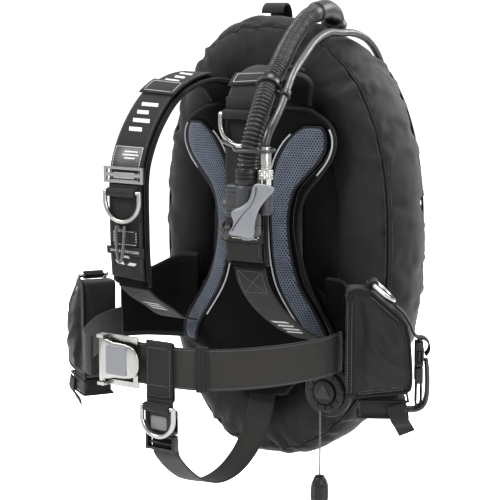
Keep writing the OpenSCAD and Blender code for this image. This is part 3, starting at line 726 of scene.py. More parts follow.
# ---------------------------------------------------------------- shoulder straps
LEFT = [(48, -170, 186), (56, -182, 206), (65, -212, 217), (74, -255, 221), (80, -293, 214),
        (84, -319, 196), (87, -329, 170), (87, -330, 140), (87, -330, 80), (87, -330, 30),
        (87, -326, 0)]
RIGHT = [(-48, -170, 186), (-56, -183, 202), (-65, -208, 209), (-74, -240, 203),
         (-79, -275, 185), (-81, -305, 155), (-82, -325, 122), (-82, -334, 90), (-82, -334, 30),
         (-82, -333, 0), (-85, -326, -40)]
X_WIDE = (1, 0, 0)
SHOULDER_W, SHOULDER_T, WEB_W, WEB_T = 58.0, 12.0, 50.0, 2.5
WEB_H = SHOULDER_T / 2 + 1 + WEB_T / 2
straps = {"left": Ribbon(LEFT, X_WIDE), "right": Ribbon(RIGHT, X_WIDE)}
for side, rib in straps.items():
    def puff(s, x, y):
        wave = 0.5 * np.sin(s / 19.0) + 0.35 * np.sin(s / 7.3 + x / 9)
        return x + 0.35 * np.sin(s / 11.0) * np.sign(x), y * (1 + 0.035 * wave)
    pad_ob = sweep("shoulder_pad_cover_" + side, rib,
                   padded_section(SHOULDER_W, SHOULDER_T - 0.4, 11, 3.4, 14),
                   step=3, change=puff)
    put(pad_ob, LINING, replaces=("shoulder_pad_" + side,))
    for k, x0 in enumerate((-26.2, 26.2)):
        put(sweep("shoulder_binding_%s_%d" % (side, k), rib, flat_section(6.4, 4.6, 3),
                  1, rib.length - 1, x0=x0), BINDING)
    a, b = rib.ctrl(2), rib.ctrl(29 / 3)
    put(sweep("shoulder_webbing_cloth_" + side, rib, flat_section(WEB_W, WEB_T, 10), a, b,
              h=WEB_H), STRAP, replaces=("shoulder_webbing_" + side,))
    lines = [on_ribbon(rib, np.arange(a + 2, b - 2, 6), x, WEB_H + WEB_T / 2 + 0.1)
             for x in (-22.3, 22.3)]
    stitches("shoulder_thread_" + side, lines, DULL)
    lines = [on_ribbon(rib, np.arange(2, rib.length - 2, 6), x, 2.5) for x in (-24.6, 24.6)]
    stitches("shoulder_rim_thread_" + side, lines, DULL)

KEEP_H = SHOULDER_T / 2 + 1 + WEB_T + 0.5 + 1
keeper_at = [("left", 12 / 3, 14 / 3), ("left", 26 / 3, 27 / 3), ("right", 10 / 3, 12 / 3),
             ("right", 26 / 3, 27 / 3)]
keepers, lines = [], []
for k, (side, c0, c1) in enumerate(keeper_at):
    rib = straps[side]
    a, b = rib.ctrl(c0), rib.ctrl(c1)
    o = sweep("keeper_%d" % k, rib, flat_section(57, 2, 10), a, b, h=KEEP_H)
    o.data.materials.append(STRAP)
    keepers.append(o)
    lines += box_lines(rib, a + 4, b - 4, 46, KEEP_H + 1.1)
put(join("strap_sleeves", keepers), None, replaces=("strap_keepers",))
stitches("sleeve_thread", lines, WHITE, pitch=3.2, length=2.3, r=0.5)

# ---------------------------------------------------------------- lower webbing and belt
BELT_Z = -118.0
lower = {
    "left": Ribbon([(87, -324.5, -4), (88, -315, -28), (92, -290, -58), (98, -250, -88),
                    (104, -215, -106), (106, -190, -114)], X_WIDE),
    "right": Ribbon([(-85.5, -324, -44), (-89, -300, -60), (-95, -260, -80), (-101, -225, -98),
                     (-104, -192, -108)], X_WIDE)}
for side, rib in lower.items():
    def sag(s, x, y):
        return x, y + 0.9 * np.sin(s / rib.length * math.pi) * np.cos(x / 22) - 0.4
    put(sweep("lower_webbing_cloth_" + side, rib, flat_section(44, WEB_T, 8),
              change=sag), STRAP, replaces=("lower_webbing_" + side,))
    stitches("lower_thread_" + side, box_lines(rib, 4, 34, 34, WEB_T / 2 + 0.2, True), DULL)

LEFT_BELT = [(148, -212), (149, -235), (146, -268), (128, -318), (98, -360), (62, -388),
             (20, -398), (-20, -398), (-60, -398), (-83, -398)]
RIGHT_BELT = [(-93, -398), (-106, -394), (-122, -378), (-142, -345), (-162, -302),
              (-172, -262), (-174, -234)]
UP = (0, 0, 1)
belts = {"left": Ribbon([(x, y, BELT_Z) for x, y in LEFT_BELT[::-1]], UP),
         "right": Ribbon([(x, y, BELT_Z) for x, y in RIGHT_BELT[::-1]], UP)}
for side, rib in belts.items():
    def ripple(s, x, y):
        return x + 0.3 * np.sin(s / 33), y + 0.35 * np.sin(s / 24 + x / 17) - 0.1
    put(sweep("belt_webbing_" + side, rib, flat_section(WEB_W, WEB_T, 12),
              change=ripple), BELT, replaces=("belt_" + side,))
    n = np.arange(3, rib.length - 3, 6)
    stitches("belt_thread_" + side, [on_ribbon(rib, n, x, WEB_T / 2 + 0.35)
                                     for x in (-22.5, 22.5)], DULL)


def keeper_band(name, centre, turn, w, reach, tall):
    """A webbing sleeve round the belt: a flattened loop with a stitched lap."""
    a = np.linspace(0, 2 * math.pi, 64, endpoint=False)
    y = reach * sgn_pow(np.cos(a), 0.35)
    z = tall * sgn_pow(np.sin(a), 0.35)
    rings = []
    for x, off in ((-w / 2, 0.25), (-w / 2 + 0.6, 0), (w / 2 - 0.6, 0), (w / 2, 0.25)):
        rings.append(np.stack([np.full(64, x), y * (1 - off / reach), z * (1 - off / tall)], -1))
    for x in (w / 2, -w / 2):
        rings.append(np.stack([np.full(64, x), y * (1 - 1.4 / reach), z * (1 - 1.4 / tall)], -1))
    m = np.array(Matrix.Rotation(turn, 3, "Z"))
    rings = np.array(rings) @ m.T + np.array(centre)
    s = arc(np.stack([y, z], -1))
    uv = np.stack(np.broadcast_arrays(np.arange(6)[:, None] * w / 3.0, s[None, :]), -1)
    return loft(name, rings, uv, closed=True)


put(keeper_band("belt_keeper_cloth", (62, -388, BELT_Z), math.radians(27), 14, 3.4, 27.4),
    STRAP, replaces=("belt_keeper",))

# Padded hip panels, bound along both edges
hips = {"left": Ribbon([(x, y, -72) for x, y in [(98, -163.4), (112, -163.4), (124, -164.6),
                                                   (134, -172), (142, -186), (148, -206)]], UP),
        "right": Ribbon([(x, y, -72) for x, y in [(-98, -163.4), (-112, -163.4), (-126, -165),
                                                    (-140, -176), (-157, -194),
                                                    (-172, -213), (-183, -224)]], UP)}
for side, rib in hips.items():
    def taper(s, x, y):
        f = np.clip((s - 14) / (rib.length - 34), 0, 1)
        f = f * f * (3 - 2 * f)
        up, low = (0.3 + 0.25 * f, 0.2 * f) if rib is hips["left"] else (0.5 * f, -0.42 + 0.1 * f)
        slack = 0.8 * np.sin(s / 13 + x / 19)
        return x * (1 - np.where(x > 0, up, low)), y + slack * (np.abs(x) < 40)
    put(sweep("hip_panel_cover_" + side, rib, padded_section(96, 5.4, 12, 2.6, 14),
              change=taper), LINING, replaces=("hip_panel_" + side,))
    for k, x0 in enumerate((-45.5, 45.5)):
        put(sweep("hip_binding_%s_%d" % (side, k), rib, flat_section(6, 3.6, 3) + [x0, 0], 0.5,
                  rib.length - 0.5, change=taper), BINDING)

# ---------------------------------------------------------------- handle and crotch strap
handle = Ribbon([(-11, -97, 72), (-11, -97, 160), (-11, -97, 240), (-11, -97, 285),
                 (-11, -101, 299.5), (-11, -109, 304), (-11, -117, 299.5), (-11, -120, 292)],
                X_WIDE)
put(sweep("grab_handle_webbing", handle, flat_section(33, WEB_T, 8), step=2),
    STRAP, replaces=("grab_handle",))
stitches("handle_thread", [on_ribbon(handle, np.arange(3, handle.length - 3, 5), x,
                                     h * (WEB_T / 2 + 0.2)) for x in (-14, 14) for h in (1, -1)],
         DULL)
CROTCH = [(4, -163.2, -168), (4, -163.2, -186), (5, -166, -202), (8, -178, -222),
          (13, -200, -242), (18, -235, -264), (17, -268, -279), (14, -302, -282),
          (12, -335, -272), (11, -358, -258), (10, -376, -242), (10, -388, -228),
          (10, -390.6, -217), (10, -390.6, -206)]
crotch = Ribbon(CROTCH, X_WIDE)


def twist(s, x, y):
    """The crotch strap's slack: a slow roll and a few soft waves."""
    f = np.sin(np.clip(s / crotch.length, 0, 1) * math.pi)
    return x, y + 1.3 * f * np.sin(x / 12.0) + 0.5 * np.sin(s / 21.0) * f


put(sweep("crotch_webbing", crotch, flat_section(38, WEB_T, 10), change=twist),
    BELT, replaces=("crotch_strap",))

# The loop on the belt that carries the clip
front = -398 - WEB_T / 2 - 1.2
loop = Ribbon([(10, front + 3.65, -90.5), (10, front + 3.65, -130), (10, front + 3.65, -156),
               (10, front + 1.2, -158.6), (10, front - 1.25, -156), (10, front - 1.25, -130),
               (10, front - 1.25, -92), (10, front + 0.6, -89.2), (10, front + 3.0, -90.5)],
              X_WIDE)
hang = sweep("crotch_loop_webbing", loop, flat_section(38, WEB_T - 0.5, 8), step=1.5)
put(hang, STRAP, replaces=("crotch_hanger",))
face = [(np.array([(x, front - 2.6, z) for x in np.linspace(-5, 25, 12)]),
         np.tile([0, -1, 0], (12, 1))) for z in (-96, -141, -154)]
face += [(np.array([(x, front - 2.6, z) for z in np.linspace(-154, -96, 20)]),
          np.tile([0, -1, 0], (20, 1))) for x in (-6, 26)]
stitches("crotch_loop_thread", face, DULL)

# Sewn loops that the D-rings turn in
RING_AT = {"chest_left": ((87, -346.2, 178), 42, 20), "chest_right": ((-82, -350, 77), 42, 9),
           "crotch": ((12, -408.8, -166), 36, 10)}
HIP = {"left": ((174, -247, 0), math.radians(30), 1), "right": ((-212, -265, -26),
                                                                math.radians(-34), -1)}


def hip_matrix(side):
    """The hip pocket's own frame; the right one is mirrored."""
    at, turn, s = HIP[side]
    return (Matrix.Translation(at) @ Matrix.Rotation(turn, 4, "Z")
            @ Matrix.Diagonal((s, 1, 1, 1)))


def apply(m, pts):
    """Points moved by a matrix."""
    m, pts = np.array(m), np.asarray(pts, float)
    return (pts.reshape(-1, 3) @ m[:3, :3].T + m[:3, 3]).reshape(pts.shape)


RING_LOCAL = (Matrix.Translation((33, 22.5, -30.5)) @ Matrix.Rotation(math.radians(41), 4, "Y")
              @ Matrix.Translation((0, 0, 1)) @ Matrix.Rotation(math.radians(-90), 4, "Y")
              @ Matrix.Rotation(math.radians(90), 4, "Z"))


def tab(name, w, h, m):
    """A webbing lap round a ring's bar with its tail above."""
    inner, outer, thick = 3.12, 5.45, 2.2
    turn = np.radians(np.linspace(0, -300, 28))

    def face(x, r):
        return [(x, h), (x, h * 0.5)] + [(r * math.cos(q), r * math.sin(q)) for q in turn]

    lap = np.array(face(outer, outer) + face(outer - thick, inner)[::-1])
    xs = np.array([-w / 2, -w / 2 + 0.5, w / 2 - 0.5, w / 2])
    rings = np.stack([np.stack([np.full(len(lap), x), lap[:, 0], lap[:, 1]], -1) for x in xs])
    uv = np.stack(np.broadcast_arrays(xs[:, None], arc(lap)[None, :]), -1)
    return loft(name, apply(m, rings), uv)


tabs = []
for key, (at, w, h) in RING_AT.items():
    tabs.append(tab("tab_" + key, w, h, Matrix.Translation(at)))
for side in ("left", "right"):
    tabs.append(tab("tab_hip_" + side, 26, 8, hip_matrix(side) @ RING_LOCAL))
for o in tabs:
    o.data.materials.append(STRAP)
put(join("ring_lap_webbing", tabs), None, replaces=("ring_tabs",))


# ---------------------------------------------------------------- turned and moulded parts
def lathe(name, profile, m=None, sides=40, shape=None, smooth_shade=True):
    """profile is (radius, height) pairs turned about Z; shape(angle, r, z) may change a radius."""
    a = np.linspace(0, 2 * math.pi, sides, endpoint=False)
    pr = np.array(profile, float)
    r = pr[:, :1] + np.zeros(sides)
    z = pr[:, 1:] + np.zeros(sides)
    if shape:
        r = shape(a[None, :], r, z)
    rings = np.stack([r * np.cos(a), r * np.sin(a), z], -1)
    if m is not None:
        rings = apply(m, rings)
    s = arc(pr)
    uv = np.stack(np.broadcast_arrays(a[None, :] * pr[:, :1].max(), s[:, None]), -1)
    o = loft(name, rings, uv)
    if not smooth_shade:
        o.data.polygons.foreach_set("use_smooth", [False] * len(o.data.polygons))
    return o


def soften(o, angle=35):
    """Keeps crisp edges crisp on a smooth-shaded piece."""
    me = o.data
    lim = math.cos(math.radians(angle))
    normals = [p.normal.copy() for p in me.polygons]
    sharp = {}
    for p in me.polygons:
        for e in p.edge_keys:
            sharp.setdefault(e, []).append(p.index)
    for e in me.edges:
        f = sharp.get(tuple(sorted(e.vertices)), [])
        if len(f) == 2 and normals[f[0]].dot(normals[f[1]]) < lim:
            e.use_edge_sharp = True
    return o


def inset(outline, d):
    """An outline's points moved inwards by d."""
    p = np.asarray(outline, float)
    e = unit(np.roll(p, -1, 0) - np.roll(p, 1, 0))
    nrm = np.stack([e[:, 1], -e[:, 0]], -1)
    area = np.sum(p[:, 0] * np.roll(p[:, 1], -1) - np.roll(p[:, 0], -1) * p[:, 1])
    return p - nrm * d * (1 if area > 0 else -1)


# How a moulded plate's face is drawn: (share of the way out, share of the dome's height)
DOME_STEPS = ((0.12, 1), (0.45, 0.9), (0.75, 0.65), (0.92, 0.3))


def slab(name, outline, y0, y1, edge=1.0, dome=0.0, m=None):
    """A moulded plate: an (x, z) outline from y0 (front) to y1, edges rounded, front domed."""
    p = np.asarray(outline, float)
    c = p.mean(0)
    flat = inset(p, edge) - c
    steps = [(c + flat * k, y0 - dome * f) for k, f in DOME_STEPS]
    for y, back, turns in ((y0, 1, (0, 30, 60, 90)), (y1, -1, (90, 45, 0))):
        for b in map(math.radians, turns):
            steps.append((inset(p, edge * (1 - math.sin(b))), y + back * edge * (1 - math.cos(b))))
    steps.append((c + flat * 0.3, y1))
    rings = np.array([np.stack([q[:, 0], np.full(len(q), y), q[:, 1]], -1) for q, y in steps])
    if m is not None:
        rings = apply(m, rings)
    return loft(name, rings)


def round_box(w, h, r, x0=0.0, z0=0.0):
    """A rectangle with round corners, centred at (x0, z0)."""
    out = []
    for k, (sx, sz) in enumerate(((1, 1), (-1, 1), (-1, -1), (1, -1))):
        for a in np.radians(90.0 * k + 18.0 * np.arange(6)).tolist():
            out.append((x0 + sx * (w / 2 - r) + r * math.cos(a),
                        z0 + sz * (h / 2 - r) + r * math.sin(a)))
    return out


def place(at, turn=(0, 0, 0)):
    """A matrix from a place in millimetres and turns in degrees, X first."""
    m = Matrix.Translation(at)
    for axis, d in (("Z", turn[2]), ("Y", turn[1]), ("X", turn[0])):
        m = m @ Matrix.Rotation(math.radians(d), 4, axis)
    return m


def group(name, objects, mats, body=ROOT, replaces=()):
    """One piece from several objects, each with a material of its own."""
    for o, mat in zip(objects, mats):
        o.data.materials.clear()
        o.data.materials.append(mat)
    return put(join(name, objects), None, body, replaces)


# ---------------------------------------------------------------- corrugated hose and elbow
HOSE_ROUTE = [(80, -165.2, 293), (83, -192, 285), (90, -226, 270), (101, -264, 253),
              (115, -306, 233), (121.5, -338, 212), (128, -360, 195), (131, -378, 172),
              (129.5, -387, 150), (127, -390, 131), (127, -390, 120), (127, -390, 108.8)]


def ribbed(s):
    """The corrugated hose's radius, with a plain cuff at the elbow."""
    rib = 0.5 + 0.5 * math.cos(2 * math.pi * s / RIB_PITCH)
    ends = min(1, max(0, (s - 10) / 8))
    return 9.0 + (2.5 * rib ** 1.3) * ends + 2.2 * (1 - ends)


put(tube("inflator_hose", HOSE_ROUTE, ribbed, 28, 10, step=0.62), HOSE,
    replaces=("corrugated_hose",))
ELBOW = [(65.6, -95.2, 270), (66.4, -95.6, 276), (67.8, -96, 281.6), (69, -99, 287),
         (71.5, -110, 292.5), (76, -134, 296.8), (79.8, -163.5, 293.2)]


def elbow_r(s):
    """The elbow's radius: a wide foot that narrows into the pipe, and a bead near its end."""
    if s < 11:
        return 16.6
    if s < 17:
        return 12.4 + 4.2 * (1 - (s - 11) / 6) ** 2.5
    return 12.4 + (0.5 if 80 < s < 85 else 0.0)


put(tube("hose_elbow_moulding", ELBOW, elbow_r, 32, 10, step=1.1), BLACK,
    replaces=("hose_elbow",))

# ---------------------------------------------------------------- inflator
# The inflator's axis, and the axis of its side boss and coupling
IX, IY, SIDE = 127.0, -390.0, 150.6
at = place((IX, IY, 0))
collar = lathe("collar", [(11.9, 121), (12.6, 121.3), (13.6, 120.9), (13.9, 119.8), (13.9, 117.6),
                          (12.9, 117.0), (12.9, 115.9), (13.9, 115.3), (13.9, 112.6),
                          (12.9, 112.0), (12.9, 110.9), (13.9, 110.3), (13.9, 105.3),
                          (13.3, 104.4), (9, 104.3)], at)
put(soften(collar), BLACK, replaces=("hose_collar",))
collar.name = "hose_collar_moulding"
barrel = lathe("barrel", [(8.2, 47.5), (8.2, 46.2), (12, 46.0), (14.2, 46.5), (15, 48.2),
                          (15, 56), (14.4, 56.6), (14.4, 58), (15, 58.6), (15, 99), (14.6, 102),
                          (13.2, 103.8), (8, 104)], at, 56)
housing = slab("housing", round_box(25, 38, 4, 115.5, 85), IY - 10.4, IY + 10, 2.4, 0.6)
ribs = [slab("rib%d" % k, round_box(21, 1.7, 0.8, 116, z), IY - 12.4, IY - 9.5, 0.6)
        for k, z in enumerate((72, 77, 92.5, 97.5))]
boss = lathe("boss", [(4.2, 71), (6.6, 71.6), (8, 73.4), (8, 100), (7.4, 103.2), (5, 104),
                      (5, 111.8), (4.4, 112)], place((SIDE, IY, 0)), 32)
web = slab("web", round_box(22, 29, 3, 139, 88.5), IY - 7, IY + 7, 2.0, 0.4)
neck = lathe("neck", [(7.5, 0), (7.5, 12), (6.2, 15.5), (5, 17), (5, 26)],
             place((IX, IY, 55), (0, -100, 0)), 28)
bezel = lathe("bezel", [(8.1, 26.5), (8.1, 28.0), (9.6, 28.2), (10.2, 27.4), (10.2, 14)],
              place((IX, IY, 79), (0, -90, 0)), 36)
parts = [soften(o) for o in [barrel, housing, boss, web, neck, bezel] + ribs]
group("inflator_moulding", parts, [DARK] * len(parts),
      replaces=("inflator_body",))
COVER = smooth([(146, 106), (158, 108), (171, 105), (171, 100), (161, 90), (152, 78), (147, 64),
                (144.5, 48), (129, 47), (113, 49), (119, 61), (116, 74), (129, 81), (140, 90)],
               5, closed=True)
cover = slab("inflator_cover_shell", COVER, IY - 18.0, IY - 15.4, 1.1, 1.1)
put(soften(cover, 50), SILVER, replaces=("inflator_cover",))
groove = [(x, IY - 18.9, z) for x, z in ((150, 104), (149, 95), (143, 83), (133, 73), (124, 62),
                                         (118, 53))]
put(tube("cover_line", groove, 0.55, 6, 6), DARK)
mouth = lathe("mouthpiece_rubber", [(5.3, 18.2), (7.2, 18.1), (8, 19), (8, 26.4), (8.6, 27.6),
                                    (10.6, 28.2), (11, 29.4), (10.6, 30.6), (8.6, 31.0),
                                    (7.9, 32.2), (7.7, 33.4), (6.9, 34), (5.6, 33.8),
                                    (5.4, 30), (5.35, 24)], place((IX, IY, 55), (0, -100, 0)), 40)
put(mouth, RUBBER, replaces=("mouthpiece",))
for node, m in (("inflate_button", place((IX - 28.5, IY, 79), (0, 90, 0))),
                ("deflate_button", place((IX, IY, 41)))):
    o = lathe(node + "_cap", [(0.5, 0.1), (3.6, 0.15), (4.6, 0.75), (5.6, 0.2), (6.8, 0.35),
                              (7.45, 1.2), (7.45, 9.4), (6.9, 10)], m, 40)
    put(soften(o, 50), GREY, node, (node,))


def knurled(a, r, z):
    """Grip grooves on the collar's widest part."""
    return r - 0.5 * (0.5 + 0.5 * np.cos(a * 24)) * (r > r.max() - 0.5)


o = lathe("coupling_sleeve", [(5.3, 104.5), (6.3, 104.5), (6.5, 104.9), (6.5, 124.5),
                              (6.0, 125), (6.0, 127), (6.5, 127.5), (6.5, 139), (6.1, 141.5),
                              (5.6, 143), (5.6, 147.6), (5.0, 148), (3, 148)],
          place((SIDE, IY, 0)), 40)
put(soften(o), PLATED, replaces=("lp_coupling",))
o = lathe("coupling_knurled_collar", [(6.65, 111.1), (7.8, 111), (8.5, 111.6), (8.55, 112.6),
                                      (8.55, 116), (7.9, 116.4), (7.9, 117.2), (8.55, 117.6),
                                      (8.55, 120.6), (8.2, 121.6), (7.4, 122), (6.65, 121.9)],
          place((SIDE, IY, 0)), 96, knurled)
put(soften(o, 50), PLATED, "coupling_collar", ("coupling_collar",))
fitting_at = place((104, -20, 0))
o = lathe("hose_fitting_shank", [(2, -9.9), (4.2, -10), (4.6, -9.5)]
          + [(4.65 - 0.45 * (k % 2), -9 + 0.75 * k) for k in range(13)]
          + [(4.2, 0.8), (4.3, 1.8), (5.2, 2.05)], fitting_at, 32)
hexa = lathe("hex", [(4.4, 2.0), (7.2, 2.0), (7.9, 2.7), (7.9, 7.3), (7.2, 8), (5, 8.05)],
             fitting_at, 6, smooth_shade=False)
ferrule = lathe("ferrule", [(5, 8), (6.9, 8.1), (7, 8.7), (7, 12), (6.6, 12.5), (6.6, 13.5),
                            (7, 14), (7, 20.5), (6.4, 22), (4.8, 22)], fitting_at, 36)
group("hose_fitting", [soften(o), hexa, soften(ferrule)], [PLATED] * 3,
      replaces=("lp_fitting",))
clip_m = place((121.5, -338, 212), (122.7, 0, 16.5))
o = lathe("clip_band", [(12.7, -6), (14.2, -5.8), (14.5, -5), (14.0, -4), (14.0, 4), (14.5, 5),
                        (14.2, 5.8), (12.7, 6)], clip_m, 44)
put(soften(o), BLACK, replaces=("hose_clip",))

# ---------------------------------------------------------------- dump valve
DUMP_AT = (104, -166, -184)
DV = place(DUMP_AT, (90, 0, 0))


def fluted(a, r, z):
    """Finger grooves round the dump valve's cap."""
    return r - 0.9 * (np.cos(a * 18) > 0.55) * (r > 24) * (z > 4.2)


parts = [lathe("flange", [(20, -0.9), (33, -0.8), (34, 0.2), (34, 1.6), (33, 2.9), (30, 3.6),
                          (26, 4.0)], DV, 64),
         lathe("cap", [(26.6, 3.4), (26.9, 4.4), (26.6, 8.4), (25.2, 9.8), (22, 10.2),
                       (17.5, 10.2), (16.6, 9.2), (15.6, 9.0), (15.2, 10.6), (14.6, 12.4),
                       (12.8, 12.9), (0.4, 12.9)], DV, 108, fluted)]
mats = [BLACK, BLACK]
for k in range(12):
    m = place(DUMP_AT) @ Matrix.Rotation(math.radians(30 * k), 4, "Y")
    parts.append(slab("spoke%d" % k, round_box(1.7, 5.2, 0.8, 0, 20.6), -11.6, -9.6, 0.5, m=m))
    mats.append(BLACK)
tri = smooth([(-10, -6.5), (0, -8), (10, -6.5), (6, 2), (0, 10.5), (-6, 2)], 5, closed=True)
parts.append(slab("badge", tri, -13.9, -12.4, 0.7, 0.3, Matrix.Translation(DUMP_AT)))
mats.append(DARK)
group("dump_valve", [soften(o) for o in parts], mats,
      replaces=("dump_body",))
knob_at = place((96, -173, -329))
knob = [lathe("k1", [(9, 0.1), (11, 0.4), (11.9, 2.0), (12, 4.5), (12, 18), (11.4, 21.6)],
              knob_at, 8, smooth_shade=False),
        lathe("k2", [(11.4, 21.5), (9.6, 26), (8.0, 29.4), (6.1, 33.1), (3, 33.6), (1.3, 33.4)],
              knob_at, 16)]
ringed = [lathe("k%d" % z, [(11.6, z - 0.9), (12.4 if z < 12 else 12.3, z), (11.6, z + 0.9)],
                knob_at, 8, smooth_shade=False) for z in (7, 11, 15)]
group("dump_pull_knob", knob + ringed, [BLACK] * 5, "dump_pull",
      ("dump_knob",))


# ---------------------------------------------------------------- side-release clips
def female_clip(name, w, m, grey):
    """The fixed clip half: a shell with open side windows and a face panel."""
    shell = slab(name + "a", round_box(w, 30, 3.2, 0, 15), -5, -3.1, 0.9, 0.35, m)
    back = slab(name + "b", round_box(w, 30, 3.2, 0, 15), 3.1, 5, 0.9, 0, m)
    ends = [slab(name + "c%d" % s, round_box(2.4, 9, 1), -4.2, 4.2, 0.7, 0,
                 m @ Matrix.Translation((x, 0, z)))
            for s, x, z in ((0, -w / 2 + 1.4, 25), (1, w / 2 - 1.4, 25))]
    ends += [slab(name + "d%d" % s, round_box(2.4, 5, 1), -4.2, 4.2, 0.7, 0,
                  m @ Matrix.Translation((s * (w / 2 - 1.4), 0, 3))) for s in (-1, 1)]
    top = slab(name + "e", round_box(w - 3, 3.4, 1.2, 0, 28.2), -4.4, 4.4, 0.8, 0, m)
    panel = slab(name + "f", round_box(w * 0.56, 17, 3, 0, 14), -5.9, -5.0, 0.5, 0.3, m)
    objs = [shell, back, top, panel] + ends
    return objs, [BLACK, BLACK, BLACK, grey] + [BLACK] * 4


def male_clip(name, w, m):
    """The moving half: a base with a webbing slot, its bars and two prongs."""
    inside = w / 2 - 2.5
    base = [slab(name + "a%d" % s, round_box(3.6, 20, 1.4, s * (w / 2 - 1.8), -10.5), -4.9, 4.9,
                 1.2, 0, m) for s in (-1, 1)]
    bars = [slab(name + "b%d" % k, round_box(w - 2, 3.4, 1.3, 0, z), -4.6, 4.6, 1.2, 0, m)
            for k, z in enumerate((-2.5, -18.6))]
    mid = [slab(name + "c", round_box(w - 4, 2.6, 1.0, 0, -11.5), -2.2, 2.2, 0.8, 0, m)]
    prong = [slab(name + "d%d" % s, round_box(w / 5, 21, 1.6, s * (inside - w / 10), 9.6), -2.4,
                  2.4, 0.8, 0, m) for s in (-1, 1)]
    objs = base + bars + mid + prong
    return objs, [BLACK] * len(objs)


CLIP_TURN = Matrix.Rotation(math.radians(90), 4, "Z")
HIP_CLIP = Matrix.Translation((89, 22.5, -130)) @ CLIP_TURN
HIP_LUG = Matrix.Translation((86.4, 22.5, -102)) @ CLIP_TURN
crotch_m = Matrix.Translation((10, -398, -200))
objs, mats = female_clip("cf", 42, crotch_m, GREY)
objs.append(slab("cfl", round_box(32, 11.5, 2, 0, 35), -2.9, 2.9, 0.8, 0, crotch_m))
group("crotch_clip_socket", [soften(o) for o in objs], mats + [BLACK],
      replaces=("crotch_clip_female",))
objs, mats = male_clip("cm", 42, crotch_m)
group("crotch_clip_plug", [soften(o) for o in objs], mats, "crotch_clip_male",
      ("crotch_clip_male",))
hip_parts, hip_mats = [], []
for side in ("left", "right"):
    objs, mats = female_clip("hf" + side, 26, hip_matrix(side) @ HIP_CLIP, BLACK)
    lug = slab("hl" + side, round_box(20, 5, 1), -5.4, -1.2, 0.8, 0, hip_matrix(side) @ HIP_LUG)
    hip_parts += objs + [lug]
    hip_mats += mats + [BLACK]
group("hip_clip_sockets", [soften(o) for o in hip_parts], hip_mats,
      replaces=("hip_clips",))

# ---------------------------------------------------------------- waist buckle lever
HX, HY, HZ = -70.0, -407.25, -116
LEVER = [(1, 21.5), (20, 21.5), (38, 20.5), (50, 16), (55.6, 7), (56.4, 0), (55.6, -9), (50, -17),
         (38, -20.5), (20, -21.5), (1, -21.5)]
outline = smooth([(HX + x, HZ + z) for x, z in LEVER], 4, closed=True)
lever = slab("lever", outline, HY - 4.0, HY - 1.7, 0.9, 0.9)
barrel = lathe("leverbar", [(2.1, -26.4), (3.6, -26.4), (4, -25.8), (4, 25.8), (3.6, 26.4),
                            (2.1, 26.4)], place((HX, HY, BELT_Z)), 32)
press = slab("leverpress", round_box(31, 35, 3, HX + 24, HZ), HY - 5.4, HY - 4.4, 0.5, 0.1)
group("waist_buckle_lever", [soften(o) for o in (lever, barrel, press)], [STEEL, STEEL, SILVER],
      "buckle_lever", ("buckle_lever",))


# ---------------------------------------------------------------- soft pieces by cloth simulation
def coords(me, what="co"):
    """A mesh's points as an array, or with "normal" their normals."""
    out = np.empty(len(me.vertices) * 3)
    me.vertices.foreach_get(what, out)
    return out.reshape(-1, 3)


def move_to(me, points):
    """Sets a mesh's points."""
    me.vertices.foreach_set("co", points.ravel())
    me.update()


def baked(ob, name):
    """The mesh with its modifiers applied, as a new object."""
    deps = bpy.context.evaluated_depsgraph_get()
    me = bpy.data.meshes.new_from_object(ob.evaluated_get(deps))
    me.name = name
    new = bpy.data.objects.new(name, me)
    bpy.context.scene.collection.objects.link(new)
    bpy.data.objects.remove(ob)
    return new


def remeshed(ob, name, voxel):
    """The form as an even mesh; voxel in millimetres."""
    mod = ob.modifiers.new("Remesh", "REMESH")
    mod.mode = "VOXEL"
    mod.voxel_size = voxel * MM
    return baked(ob, name)


PUFF_PRESSURE, PUFF_FRAMES = 4.0, 20


def cloth_puff(ob, cap):
    """Inflates a closed form as cloth; cap is how far each point may move, in millimetres."""
    me = ob.data
    rest = coords(me)
    cloth = ob.modifiers.new("Cloth", "CLOTH")
    st = cloth.settings
    st.quality = 6
    st.mass = 0.25
    st.use_pressure = True
    st.uniform_pressure_force = PUFF_PRESSURE
    st.effector_weights.gravity = 0
    for k in range(1, PUFF_FRAMES + 1):
        bpy.context.scene.frame_set(k)
    deps = bpy.context.evaluated_depsgraph_get()
    moved = coords(ob.evaluated_get(deps).data)
    ob.modifiers.remove(cloth)
    bpy.context.scene.frame_set(1)
    d = moved - rest
    out = coords(me, "normal")
    d -= out * np.minimum(np.sum(d * out, axis=1), 0)[:, None]
    far = np.linalg.norm(d, axis=1)
    lim = np.asarray(cap) * MM
    d *= np.minimum(1, lim / np.maximum(far, 1e-9))[:, None]
    move_to(me, rest + d)


def relax(ob, weight, rounds):
    """Evens a mesh out: each point moves towards its neighbours' middle by its weight."""
    me = ob.data
    e = np.array([tuple(q.vertices) for q in me.edges])
    p = coords(me)
    n = np.bincount(e.ravel(), minlength=len(p))[:, None]
    for _ in range(rounds):
        s = np.zeros_like(p)
        for a, b in ((0, 1), (1, 0)):
            np.add.at(s, e[:, a], p[e[:, b]])
        p += (s / n - p) * weight[:, None]
    move_to(me, p)


def subdivided(ob, name):
    """The piece with every face split once, smooth-shaded."""
    mod = ob.modifiers.new("Subdivision", "SUBSURF")
    mod.levels = mod.render_levels = 1
    new = baked(ob, name)
    new.data.polygons.foreach_set("use_smooth", [True] * len(new.data.polygons))
    return new


def ease(v, a, b):
    """A smooth step from 0 at a to 1 at b."""
    q = np.clip((v - a) / (b - a), 0, 1)
    return q * q * (3 - 2 * q)


# ---------------------------------------------------------------- weight pockets
FACE = [(0, -36), (4, -33), (26, -33), (72, -72), (79, -100), (82, -146), (76, -160),
        (12, -168), (0, -162)]


